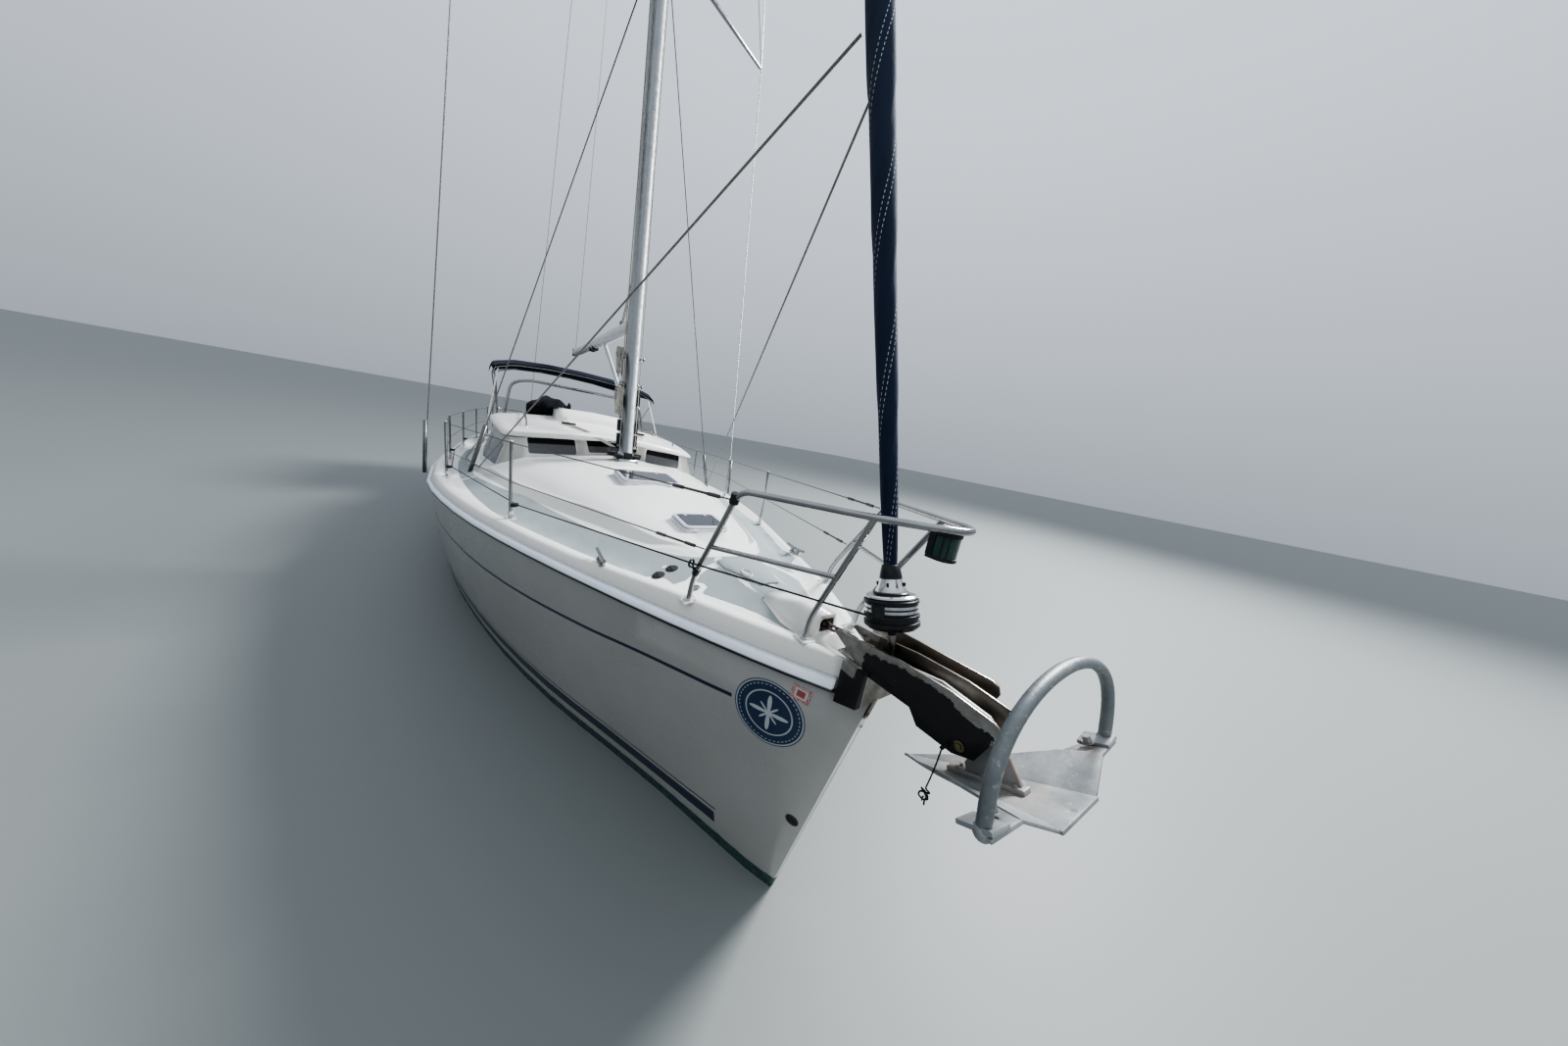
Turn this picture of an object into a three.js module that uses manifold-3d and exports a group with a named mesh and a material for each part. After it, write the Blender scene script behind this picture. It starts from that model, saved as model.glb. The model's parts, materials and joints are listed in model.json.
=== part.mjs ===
import * as THREE from 'three';
import { mergeVertices } from 'three/addons/utils/BufferGeometryUtils.js';
import Module from 'manifold-3d';

// Sailing yacht afloat, millimetres. X forward, Y to port, Z up.
// Origin: on the water plane, on the centreline, amidships.

// Driving dimensions
const STERN_X = -6200;        // aft edge of the swim platform
const GAP = 0.3;              // seam between pieces that rest on each other
const DECK_T = 35;            // moulding thickness
const MAST_X = 1740;
const MAST_Z = 1812;
const MAST_TOP = 18200;
const MAST_RAKE = 0.035;      // aft, per unit of height
const STAY_FOOT = [6075, 0, 1700];
const STAY_HEAD_Z = 16250;

const wasm = await Module();
wasm.setup();

const group = new THREE.Group();
const V = (x, y, z) => new THREE.Vector3(x, y, z);

// Helpers that turn point lists into closed solids

function solid(geometry) {
  const g = geometry.clone();
  g.deleteAttribute('normal');
  g.deleteAttribute('uv');
  const m = mergeVertices(g, 1e-3);
  const triVerts = new Uint32Array(m.index.array);
  const vertProperties = new Float32Array(m.attributes.position.array);
  const s = new wasm.Manifold(new wasm.Mesh({ numProp: 3, vertProperties, triVerts }));
  if (s.volume() > 0) return s;
  for (let i = 0; i < triVerts.length; i += 3) {
    [triVerts[i + 1], triVerts[i + 2]] = [triVerts[i + 2], triVerts[i + 1]];
  }
  return new wasm.Manifold(new wasm.Mesh({ numProp: 3, vertProperties, triVerts }));
}

function geometryOf(manifold) {
  const m = manifold.getMesh();
  const g = new THREE.BufferGeometry();
  g.setAttribute('position', new THREE.BufferAttribute(new Float32Array(m.vertProperties), 3));
  g.setIndex(new THREE.BufferAttribute(new Uint32Array(m.triVerts), 1));
  g.computeVertexNormals();
  return g;
}

// rings: equal-length closed loops; planar (2-D) triangulation closes both ends
function loft(rings) {
  const n = rings[0].length;
  const pos = rings.flat().flatMap((p) => [p[0], p[1], p[2]]);
  const idx = [];
  for (let i = 0; i + 1 < rings.length; i++) {
    for (let j = 0; j < n; j++) {
      const a = i * n + j, b = i * n + (j + 1) % n, c = a + n, d = b + n;
      idx.push(a, b, d, a, d, c);
    }
  }
  const cap = (ring, base, flip) => {
    const flat = flatten(ring);
    for (const [a, b, c] of THREE.ShapeUtils.triangulateShape(flat, [])) {
      idx.push(...(flip ? [base + a, base + c, base + b] : [base + a, base + b, base + c]));
    }
  };
  cap(rings[0], 0, signOf(rings[0]) > 0);
  cap(rings.at(-1), (rings.length - 1) * n, signOf(rings.at(-1)) < 0);
  const g = new THREE.BufferGeometry();
  g.setAttribute('position', new THREE.Float32BufferAttribute(pos, 3));
  g.setIndex(idx);
  return solid(g);
}

// Newell normal picks the plane in which a ring is triangulated
function newell(ring) {
  const n = [0, 0, 0];
  ring.forEach((p, i) => {
    const q = ring[(i + 1) % ring.length];
    n[0] += (p[1] - q[1]) * (p[2] + q[2]);
    n[1] += (p[2] - q[2]) * (p[0] + q[0]);
    n[2] += (p[0] - q[0]) * (p[1] + q[1]);
  });
  return n;
}

function dropAxis(ring) {
  const n = newell(ring).map(Math.abs);
  return n.indexOf(Math.max(...n));
}

function flatten(ring) {
  const k = dropAxis(ring);
  const [a, b] = [[1, 2], [2, 0], [0, 1]][k];
  return ring.map((p) => new THREE.Vector2(p[a], p[b]));
}

const signOf = (ring) => (THREE.ShapeUtils.area(flatten(ring)) > 0 ? 1 : -1);

function box(x0, x1, y0, y1, z0, z1) {
  const g = new THREE.BoxGeometry(x1 - x0, y1 - y0, z1 - z0);
  g.translate((x0 + x1) / 2, (y0 + y1) / 2, (z0 + z1) / 2);
  return solid(g);
}

// Round bar along a polyline, one ring of sides per corner
function bar(points, radius, sides = 8) {
  const pts = points.map((p) => V(...p));
  const rOf = (i) => (Array.isArray(radius) ? radius[i] : radius);
  let up = null;
  const rings = pts.map((p, i) => {
    const t0 = i > 0 ? p.clone().sub(pts[i - 1]).normalize() : null;
    const t1 = i + 1 < pts.length ? pts[i + 1].clone().sub(p).normalize() : null;
    const t = t0 && t1 ? t0.clone().add(t1).normalize() : (t0 ?? t1).clone();
    if (!up) up = Math.abs(t.z) < 0.9 ? V(0, 0, 1) : V(1, 0, 0);
    const a = up.clone().sub(t.clone().multiplyScalar(up.dot(t))).normalize();
    const b = t.clone().cross(a);
    up = a.clone();
    const widen = t0 && t1 ? 1 / Math.max(0.5, t.dot(t1)) : 1;
    const side = t0 && t1 ? t1.clone().sub(t0) : V(0, 0, 0);
    if (side.length() > 1e-6) side.normalize();
    return Array.from({ length: sides }, (_, k) => {
      const f = (k + 0.5) / sides * Math.PI * 2;
      const d = a.clone().multiplyScalar(Math.cos(f)).add(b.clone().multiplyScalar(Math.sin(f)));
      const along = side.clone().multiplyScalar(d.dot(side) * (widen - 1));
      const q = p.clone().add(d.add(along).multiplyScalar(rOf(i)));
      return [q.x, q.y, q.z];
    });
  });
  return loft(rings);
}

// Turned piece: profile rows are [radius, height], from axis to axis, along dir
function turned(at, dir, profile, sides = 24) {
  const g = new THREE.LatheGeometry(profile.map(([r, h]) => new THREE.Vector2(r, h)), sides);
  g.applyQuaternion(new THREE.Quaternion().setFromUnitVectors(V(0, 1, 0), V(...dir).normalize()));
  g.translate(...at);
  return solid(g);
}

// Prism: 2-D outline in the plane of two axes, pushed along the third
function prism(axis, from, to, outline) {
  const at = (h) => outline.map(([u, v]) => (
    { x: [h, u, v], y: [u, h, v], z: [u, v, h] }[axis]));
  return loft([at(from), at(to)]);
}

const union = (list) => wasm.Manifold.union(list);

function lerpTable(table, x, col) {
  if (x >= table[0][0]) return table[0][col];
  for (let i = 0; i + 1 < table.length; i++) {
    const [a, b] = [table[i], table[i + 1]];
    if (x <= a[0] && x >= b[0]) {
      return a[col] + (b[col] - a[col]) * (a[0] - x) / (a[0] - b[0]);
    }
  }
  return table.at(-1)[col];
}

function add(name, manifold, color, roughness = 0.5, metalness = 0) {
  const mesh = new THREE.Mesh(
    geometryOf(manifold),
    new THREE.MeshStandardMaterial({ color, roughness, metalness }),
  );
  mesh.name = name;
  group.add(mesh);
  return manifold;
}

const WHITE = 0xf0f1ee, GREY = 0xaab7bb, STEEL = 0xc4c8ca, NAVY = 0x1a2338;
const BLACK = 0x16181a, GLASS = 0x20262b, ALLOY = 0xb9bdbd, ZINC = 0x9aa1a8;

// Rows of a table with one more between each two of the first ones, on a smooth curve
function withMidRows(table, count) {
  const mid = (i) => {
    const [b, c, d] = table.slice(i, i + 3);
    const a = table[i - 1] ?? b.map((v, k) => 2 * v - c[k]);
    return b.map((v, k) => (9 * (v + c[k]) - a[k] - d[k]) / 16);
  };
  return table.flatMap((row, i) => (i < count ? [row, mid(i)] : [row]));
}

// Hull lines by station: x, waterline half-breadth, gunwale half-breadth,
// canoe body depth, gunwale height, rake of the station per unit of height
const LINES = withMidRows([
  [5750, 12, 28, -25, 1462, 0.213],
  [5600, 90, 140, -150, 1452, 0.205],
  [5350, 195, 300, -260, 1440, 0.19],
  [4950, 365, 520, -340, 1415, 0.165],
  [4450, 595, 770, -420, 1380, 0.13],
  [3800, 900, 1075, -490, 1335, 0.08],
  [3000, 1210, 1405, -545, 1285, 0.03],
  [2100, 1490, 1695, -590, 1243, 0],
  [1100, 1735, 1920, -620, 1208, 0],
  [0, 1870, 2020, -630, 1178, 0],
  [-1300, 1915, 2045, -600, 1158, 0],
  [-2600, 1885, 2010, -520, 1152, 0],
  [-3900, 1775, 1925, -380, 1160, 0],
  [-5000, 1590, 1786, -190, 1172, 0],
  [-5400, 1500, 1718, -115, 1178, 0],
  [-5700, 1430, 1655, -60, 1182, 0],
  [STERN_X, 1310, 1540, 40, 1190, 0],
], 8);

function sectionHalf(bw, bs, zk, zs) {
  const pts = [];
  const low = new THREE.CubicBezierCurve(
    new THREE.Vector2(0, zk), new THREE.Vector2(bw * 0.62, zk + 10),
    new THREE.Vector2(bw - (bs - bw) * 0.25, Math.min(zk * 0.5, -10)), new THREE.Vector2(bw, 0));
  const high = new THREE.CubicBezierCurve(
    new THREE.Vector2(bw, 0), new THREE.Vector2(bw + (bs - bw) * 0.42, zs * 0.3),
    new THREE.Vector2(bs - (bs - bw) * 0.12, zs * 0.66), new THREE.Vector2(bs, zs));
  for (let i = 0; i <= 7; i++) { const p = low.getPoint(i / 7); pts.push([p.x, p.y]); }
  for (let i = 1; i <= 6; i++) { const p = high.getPoint(i / 6); pts.push([p.x, p.y]); }
  return pts;
}

const RUDDER_X = -5200;
const SHAFT = { from: [-2960, 0, -395], dir: [-1, 0, -0.193] };
const along = (d) => {
  const v = V(...SHAFT.dir).normalize().multiplyScalar(d);
  return [SHAFT.from[0] + v.x, v.y, SHAFT.from[2] + v.z];
};
const shaftCut = turned(along(-10), SHAFT.dir, [[0, 0], [24, 0], [24, 700], [0, 700]], 16);

const raked = (x, k, z) => x + k * z;

function hullRing([x, bw, bs, zk, zs, k], inset = 0, lift = 0) {
  const half = sectionHalf(Math.max(8, bw - inset), Math.max(10, bs - inset), zk + lift, zs);
  const up = inset ? half.map(([y, z], i) => (i === half.length - 1 ? [y, z + 150] : [y, z])) : half;
  const stb = up.slice().reverse().map(([y, z]) => [raked(x, k, z), -y, z]);
  const prt = up.slice(1).map(([y, z]) => [raked(x, k, z), y, z]);
  return [...stb, ...prt];
}

function buildHull() {
  const outer = loft(LINES.map((r) => hullRing(r)));
  const inside = loft(LINES.filter(([x]) => x < 5000 && x > STERN_X).map((r) => hullRing(r, 45, 70)))
    .intersect(box(-5290, 5000, -2500, 2500, -900, 1800));
  const lugs = [-1, 1].map((s) => box(-6236, -6150, s * 243 - 12.7, s * 243 + 12.7, 300, 350));
  return union([outer, ...lugs]).subtract(union([
    inside, box(-7000, -5330, -720, 720, 360, 1600), box(-5340, -5280, -600, 600, 620, 1600),
    prism('y', -2500, 2500, [[-6400, 330], [STERN_X, 330], [-5770, 1190], [-5600, 1530], [-6400, 1530]]),
    shaftCut, turned([RUDDER_X, 0, -400], [0, 0, 1], [[0, 0], [28.8, 0], [28.8, 600], [0, 600]], 16),
  ]));
}

// Deck by station: x, bulwark top height, trunk half-width at its foot, foot
// height, shoulder half-width, shoulder height, crown height on the centreline
const DECK = [
  [6045, 1570, 8, 1535, 5, 1545, 1552],
  [5965, 1580, 40, 1550, 25, 1562, 1572],
  [5600, 1575, 110, 1560, 70, 1580, 1592],
  [5100, 1548, 150, 1570, 100, 1590, 1602],
  [4790, 1518, 165, 1590, 105, 1606, 1612],
  [4620, 1500, 316, 1560, 205, 1612, 1624],
  [4250, 1467, 515, 1520, 335, 1618, 1650],
  [3830, 1441, 680, 1488, 440, 1628, 1676],
  [2830, 1387, 1010, 1436, 640, 1650, 1730],
  [1900, 1347, 1330, 1395, 850, 1660, 1792],
  [1250, 1324, 1500, 1370, 1060, 1625, 1772],
  [1010, 1317, 1515, 1362, 1300, 1460, 1760],
  [760, 1309, 1540, 1356, 1450, 1382, 1755],
  [0, 1289, 1640, 1345, 1585, 1368, 1752],
  [-700, 1276, 1665, 1335, 1615, 1358, 1750],
  [-1900, 1262, 1630, 1322, 1575, 1350, 1740],
  [-1960, 1262, 1520, 1322, 1330, 1480, 1490],
  [-3900, 1268, 1420, 1325, 1280, 1470, 1480],
  [-5200, 1280, 1330, 1335, 1200, 1450, 1460],
  [-5700, 1288, 1290, 1300, 1180, 1320, 1330],
];

const gunwale = (x) => {
  let best = null;
  for (let i = 0; i + 1 < LINES.length; i++) {
    const [a, b] = [LINES[i], LINES[i + 1]];
    const [xa, xb] = [raked(a[0], a[5], a[4]), raked(b[0], b[5], b[4])];
    if (x <= xa + 1 && x >= xb - 1) {
      const t = (xa - x) / (xa - xb);
      best = [a[2] + (b[2] - a[2]) * t, a[4] + (b[4] - a[4]) * t];
    }
  }
  return best ?? [LINES[0][2], LINES[0][4]];
};

// Every hull and deck station along the gunwale, so facets meet edge to edge
const LINES_X = LINES.map((r) => Math.round(raked(r[0], r[5], r[4])));
const RAIL_X = [...LINES_X, ...DECK.map((r) => r[0]).filter((x) => LINES_X.every((h) => Math.abs(h - x) > 40)
  || [6045, -1900, -1960, -5700].includes(x))].filter((x) => x <= 6045 && x >= -5700).sort((p, q) => q - p);

function deckHalf(x) {
  const [bs, zr] = gunwale(x);
  const [zb, bt, zt, bh, zh, zc] = [1, 2, 3, 4, 5, 6].map((c) => lerpTable(DECK, x, c));
  const k = Math.min(1, bs / 260);
  const deckEdge = Math.max(bt + 6, bs - 165 * k);
  return [
    [bs, zr + GAP], [bs - 3, zr + 62], [bs - 30 * k, zb - 12], [bs - 62 * k, zb],
    [bs - 105 * k, zb - 4], [deckEdge, zb - 42 * k],
    [bt, zt], [bt * 0.55 + bh * 0.45, zt * 0.4 + zh * 0.6], [bh, zh],
    [bh * 0.62, zh + (zc - zh) * 0.45], [bh * 0.3, zh + (zc - zh) * 0.8], [0, zc],
  ];
}

function deckRing(x) {
  const half = deckHalf(x);
  const bs = half[0][0];
  const f = Math.max(0.25, (bs - 50) / bs);
  const under = half.map(([y, z], i) => [y * f, i === 0 ? z : z - DECK_T]);
  const top = [...half.map(([y, z]) => [x, -y, z]),
    ...half.slice(0, -1).reverse().map(([y, z]) => [x, y, z])];
  const low = [...under.slice(0, -1).map(([y, z]) => [x, y, z]),
    ...under.slice().reverse().map(([y, z]) => [x, -y, z])];
  return [...top, ...low];
}

// Raised hawse in the foredeck, in line with the anchor: x, height over the deck
const HAWSE_Y = -32, HAWSE_HALF = 80;
const HAWSE = [[5345, 2], [5440, 26], [5600, 76], [5752, 92]];
const hawseRing = ([x, h]) => {
  const z = lerpTable(DECK, x, 6);
  return [[-1, -60], [-1, -14], [-0.6, h], [0.6, h], [1, -14], [1, -60]]
    .map(([f, up]) => [x, HAWSE_Y + f * HAWSE_HALF, z + up]);
};

function buildDeck() {
  const cuts = [
    box(-5330, -2003, -1180, 1180, 0, 1900), box(-7000, -5320, -720, 720, 0, 1900),
    box(-2010, -1800, -350, 350, 1000, 1900), wallSolid(70, 1000, 1984),
    ...HATCHES.map(([x, y, z, lx, ly]) => box(x - lx / 2 + 45, x + lx / 2 - 45, y - ly / 2 + 45,
      y + ly / 2 - 45, z - 300, z + 200)),
  ];
  const pads = [-1, 1].map((s) => turned([-3000, s * 1250, 1440], [0, 0, 1],
    [[0, 0], [62, 0], [62, 45 - GAP], [0, 45 - GAP]], 16));
  return union([loft(RAIL_X.map(deckRing)).subtract(union(cuts)), loft(HAWSE.map(hawseRing)), ...pads]);
}

// Everything under the top surface of the deck, to trim what stands on it
function underDeck(lift) {
  return loft(RAIL_X.map((x) => {
    const half = deckHalf(x);
    const top = [...half.map(([y, z]) => [x, -y, z + lift]),
      ...half.slice(0, -1).reverse().map(([y, z]) => [x, y, z + lift])];
    return [...top, [x, half[0][0], 0], [x, -half[0][0], 0]];
  }));
}

// Deck hatches: centre x, y, z, length, width
const HATCHES = [[4215, 0, 1652, 340, 370], [2770, 0, 1734, 500, 600]];
const HATCH_TILT = 3.8;

// Coachroof walls, half plan from the front: foot x, foot y, head x, head y
const WALL = [
  [1135, 0, 955, 0], [1115, 480, 930, 440], [1065, 1090, 880, 1035], [930, 1330, 760, 1160],
  [600, 1435, 430, 1225], [0, 1570, -20, 1300], [-700, 1600, -700, 1350], [-1925, 1560, -1905, 1350],
];
const WALL_FOOT = 1300, WALL_HEAD = 1985;

function wallSolid(inset, z0 = WALL_FOOT, z1 = WALL_HEAD) {
  const ring = (z) => {
    const t = (z - WALL_FOOT) / (WALL_HEAD - WALL_FOOT);
    const half = WALL.map(([fx, fy, hx, hy], i) => {
      const [x, y] = [fx + (hx - fx) * t, fy + (hy - fy) * t];
      const back = i === WALL.length - 1;
      return [back ? x + inset : x - inset * (i < 4 ? 1 : 0), Math.max(0, y - (i > 0 ? inset : 0)), z];
    });
    return [...half, ...half.slice(1).reverse().map(([x, y, zz]) => [x, -y, zz])];
  };
  return loft([ring(z0), ring(z1)]);
}

// Roof by station: x, half-width, crown height, edge drop, edge thickness
const ROOF = [
  [1245, 120, 2000, 4, 40], [1225, 420, 2012, 22, 62], [1165, 720, 2024, 52, 70],
  [1075, 960, 2034, 90, 74], [960, 1125, 2043, 126, 76], [800, 1262, 2055, 165, 78],
  [620, 1305, 2066, 168, 78], [380, 1340, 2080, 166, 76], [0, 1390, 2100, 166, 76],
  [-500, 1440, 2118, 166, 76], [-1100, 1480, 2128, 166, 76], [-1990, 1465, 2105, 160, 76],
];

function roofRing([x, w, zc, drop, t]) {
  const half = [1, 0.985, 0.93, 0.72, 0.45, 0.2, 0];
  const top = half.map((f, i) => [w * f, zc - drop * f * f - (i === 0 ? t * 0.55 : i === 1 ? t * 0.22 : 0)]);
  const low = half.map((f, i) => [w * f * (i === 0 ? 0.99 : 1), zc - drop * f * f - t]);
  return [...top.map(([y, z]) => [x, -y, z]), ...top.slice(0, -1).reverse().map(([y, z]) => [x, y, z]),
    ...low.slice(0, -1).map(([y, z]) => [x, y, z]), ...low.slice().reverse().map(([y, z]) => [x, -y, z])];
}

// Window outlines: front ones in (y, z), side ones in (x, z)
const FRONT_SIDE_PANE = [[1002, 1668], [985, 1650], [475, 1696], [456, 1714], [482, 1880], [500, 1894],
  [1000, 1856], [1018, 1840]];
const FRONT_WINDOWS = {
  starboard: FRONT_SIDE_PANE.map(([y, z]) => [-y, z]),
  centre: [[-310, 1764], [-290, 1752], [0, 1786], [290, 1752], [310, 1764], [345, 1912], [325, 1926],
    [-325, 1926], [-345, 1912]],
  port: FRONT_SIDE_PANE,
};
const SIDE_WINDOW = [[740, 1446], [716, 1425], [-1420, 1425], [-1460, 1450], [-1400, 1732], [-1360, 1752],
  [560, 1738], [690, 1716], [728, 1690]];

// Outline with every edge moved inward by d
function shrink(outline, d) {
  const p = outline.map(([u, v]) => new THREE.Vector2(u, v));
  const turn = THREE.ShapeUtils.isClockWise(p) ? -1 : 1;
  const edge = (i) => p[(i + 1) % p.length].clone().sub(p[i % p.length]).normalize();
  return p.map((q, i) => {
    const e0 = edge(i + p.length - 1), e1 = edge(i);
    const n0 = new THREE.Vector2(-e0.y, e0.x), n1 = new THREE.Vector2(-e1.y, e1.x);
    const n = n0.clone().add(n1).multiplyScalar(turn * d / (1 + n0.dot(n1)));
    return [q.x + n.x, q.y + n.y];
  });
}

const hoodHalf = (grow) => [[620, 0], [600, 105], [520, 150], [0, 168]].map(([y, z]) => [Math.max(0, y + grow * (y > 0)), z + grow]);
const hoodRing = (x, grow, lift = 0) => {
  const h = hoodHalf(grow);
  return [[x, -h[0][0], 1960], ...h.slice(1).map(([y, z]) => [x, -y, 2105 + z + lift]),
    ...h.slice(1, -1).reverse().map(([y, z]) => [x, y, 2105 + z + lift]), [x, h[0][0], 1960]];
};
const seaHood = () => loft([hoodRing(-60, -60, -70), hoodRing(-140, 0), hoodRing(-1060, 0)])
  .subtract(loft([hoodRing(-200, -30), hoodRing(-1100, -30)]));

function buildCoachroof(deckTrim) {
  let walls = wallSolid(0).subtract(wallSolid(40, WALL_FOOT - 10, WALL_HEAD + 10));
  walls = walls.subtract(deckTrim);
  let roof = loft(ROOF.map(roofRing));
  const roofUnder = loft(ROOF.map(([x, w, zc, drop, t]) => {
    const full = [-1, -0.72, -0.45, -0.2, 0, 0.2, 0.45, 0.72, 1];
    return [...full.map((f) => [x, w * f * 1.02, zc - drop * f * f - t * 0.5]), [x, w * 1.02, 2600], [x, -w * 1.02, 2600]];
  }));
  walls = walls.subtract(roofUnder);
  const roofInside = loft(ROOF.map(([x, w, zc, drop, t]) => [[x, -w, 1000], [x, w, 1000],
    ...[1, 0.72, 0.45, 0.2, 0, -0.2, -0.45, -0.72, -1].map((f) => [x, w * f, zc - drop * f * f - t * 0.5])]));
  let shell = union([walls, roof, seaHood().subtract(roofInside)]);
  for (const o of Object.values(FRONT_WINDOWS)) shell = shell.subtract(prism('x', 500, 1150, o));
  for (const s of [-1, 1]) shell = shell.subtract(prism('y', s * 1050, s * 1700, SIDE_WINDOW));
  shell = shell.subtract(box(-2100, -1000, -350, 350, 1990, 2400));
  const rails = [-1, 1].map((s) => box(-1980, -320, s * 361 - 10, s * 361 + 10, 2070, 2140 - GAP));
  shell = shell.subtract(box(-2100, -1700, -350, 350, 1300, 2050));
  const hinges = [1760, 1900].map((z) => box(-1958, -1880, -360, -322 - GAP, z + 60 + GAP, z + 76));
  return union([shell, ...rails, ...hinges]);
}

const hull = buildHull();
add('hull', hull, WHITE, 0.35);
const deck = buildDeck();
add('deck', deck, WHITE, 0.45);
const deckTrim = underDeck(GAP);
const coachroof = buildCoachroof(deckTrim);
add('coachroof', coachroof, WHITE, 0.4);
const paneShell = wallSolid(12).subtract(wallSolid(20, WALL_FOOT - 10, WALL_HEAD + 10))
  .subtract(underDeck(4));
for (const [side, o] of Object.entries(FRONT_WINDOWS)) {
  add(`window_front_${side}`, paneShell.intersect(prism('x', 500, 1150, shrink(o, 1))), GLASS, 0.1);
}
for (const [side, s] of [['starboard', -1], ['port', 1]]) {
  add(`window_side_${side}`, paneShell.intersect(prism('y', s * 1050, s * 1700, shrink(SIDE_WINDOW, 1))), GLASS, 0.1);
}

// Cockpit: sole, seats, footwell and coaming linings in one moulding
const SOLE = 620, SEAT = 1000, TUB_TOP = 1455, GATE_X = -5270, GATE_Z = 1018;
function buildCockpit() {
  const y = 1180 - GAP;
  return union([
    box(-5289, -2004, -470, 470, SOLE - 40, SOLE),
    box(-5289, -2004, -470, -430, SOLE - 40, SEAT), box(-5289, -2004, 430, 470, SOLE - 40, SEAT),
    box(-5289, -2004, -y, -430, SEAT - 40, SEAT), box(-5289, -2004, 430, y, SEAT - 40, SEAT),
    box(-5289, -2004, -y, -1140, SEAT - 40, TUB_TOP), box(-5289, -2004, 1140, y, SEAT - 40, TUB_TOP),
    box(-2044, -2004, -y, y, SOLE - 40, TUB_TOP), box(-5289, -5250, -y, -600, SEAT - 40, TUB_TOP),
    box(-5289, -5250, 600, y, SEAT - 40, TUB_TOP),
    ...[-572, -448, 448, 572].map((y0) => box(GATE_X - 11, GATE_X + 11, y0 - 12 + GAP, y0 + 12 - GAP,
      SEAT - 10, GATE_Z + 11)),
  ]).subtract(union([
    box(-2100, -1990, -350, 350, 1060, 1900),
    ...[-1, 1].map((s) => box(-4000, -2750, Math.min(s * 560, s * 1060), Math.max(s * 560, s * 1060), 900, 1010)),
  ]));
}
add('cockpit', buildCockpit(), WHITE, 0.5);
for (const [side, s] of [['starboard', -1], ['port', 1]]) {
  const [y0, y1] = [Math.min(s * 520, s * 1100), Math.max(s * 520, s * 1100)];
  add(`cockpit_locker_lid_${side}`, box(-4040, -2710, y0, y1, SEAT + GAP, SEAT + 26), GREY, 0.7);
}

// Underwater gear
const hullOuter = loft(LINES.map((r) => hullRing(r)));
const keelPlan = (z, nose, tail, t) => [
  [nose, 0], [nose - 120, t * 0.55], [nose - 420, t], [nose - (nose - tail) * 0.6, t * 0.8], [tail, 6],
  [tail, -6], [nose - (nose - tail) * 0.6, -t * 0.8], [nose - 420, -t], [nose - 120, -t * 0.55],
].map(([x, y]) => [x, y, z]);
const fin = loft([keelPlan(-1400, 650, -750, 70), keelPlan(-300, 1150, -950, 95)]);
const bulb = loft([
  [1050, 40, -1440], [900, 150, -1430], [500, 300, -1410], [0, 330, -1405], [-600, 230, -1410], [-1000, 40, -1430],
].map(([x, w, z]) => Array.from({ length: 12 }, (_, i) => {
  const f = i / 12 * Math.PI * 2;
  return [x, Math.cos(f) * w, Math.max(-1500, z + Math.sin(f) * Math.min(122, w * 0.7))];
})));
add('keel', union([fin, bulb]).subtract(hullOuter.translate([0, 0, -GAP])), 0x25313c, 0.8);

const foil = (z, nose, tail, t) => [
  [nose, 0], [nose - 60, t * 0.8], [nose - 200, t], [tail, 4], [tail, -4], [nose - 200, -t], [nose - 60, -t * 0.8],
].map(([x, y]) => [x, y, z]);
add('rudder', union([
  loft([foil(-1380, RUDDER_X + 60, RUDDER_X - 330, 26), foil(-260, RUDDER_X + 130, RUDDER_X - 480, 42)]),
  turned([RUDDER_X, 0, -900], [0, 0, 1], [[0, 0], [28, 0], [28, 1330], [0, 1330]], 16),
]), 0x25313c, 0.8);

const hubAt = along(1230);
const blade = (turn) => {
  const rows = [[20, 30, 0.9], [90, 62, 0.62], [160, 66, 0.45], [205, 34, 0.36]];
  const rings = rows.map(([r, w, pitch]) => [[-w, -3], [0, -6], [w, -3], [w, 3], [0, 6], [-w, 3]].map(([u, v]) => {
    const [c, k] = [Math.cos(pitch), Math.sin(pitch)];
    return [(u * k + v * c), (u * c - v * k), r];
  }));
  const turnX = (p) => [p[0], p[1] * Math.cos(turn) - p[2] * Math.sin(turn),
    p[1] * Math.sin(turn) + p[2] * Math.cos(turn)];
  const tilt = new THREE.Quaternion().setFromUnitVectors(V(-1, 0, 0), V(...SHAFT.dir).normalize());
  return loft(rings.map((ring) => ring.map((p) => {
    const q = V(...turnX(p)).applyQuaternion(tilt);
    return [q.x + hubAt[0], q.y + hubAt[1], q.z + hubAt[2]];
  })));
};
add('propeller', union([
  turned(SHAFT.from, SHAFT.dir, [[0, 0], [17, 0], [17, 1170], [42, 1180], [42, 1270], [24, 1320], [0, 1330]], 16),
  ...[0, 1, 2].map((i) => blade(i * Math.PI * 2 / 3)),
]), 0x9a7a3a, 0.4, 1);
const strutAt = along(1100);
add('propeller_strut', union([
  turned(along(1060), SHAFT.dir, [[0, 0], [36, 0], [36, 90], [0, 90]], 16),
  prism('y', -11, 11, [[strutAt[0] - 40, strutAt[2]], [strutAt[0] + 45, strutAt[2]],
    [strutAt[0] + 130, -250], [strutAt[0] + 20, -250]]),
]).subtract(turned(along(1000), SHAFT.dir, [[0, 0], [17.8, 0], [17.8, 300], [0, 300]], 16))
  .subtract(hullOuter.translate([0, 0, -GAP])), 0x9a7a3a, 0.4, 1);

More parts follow.
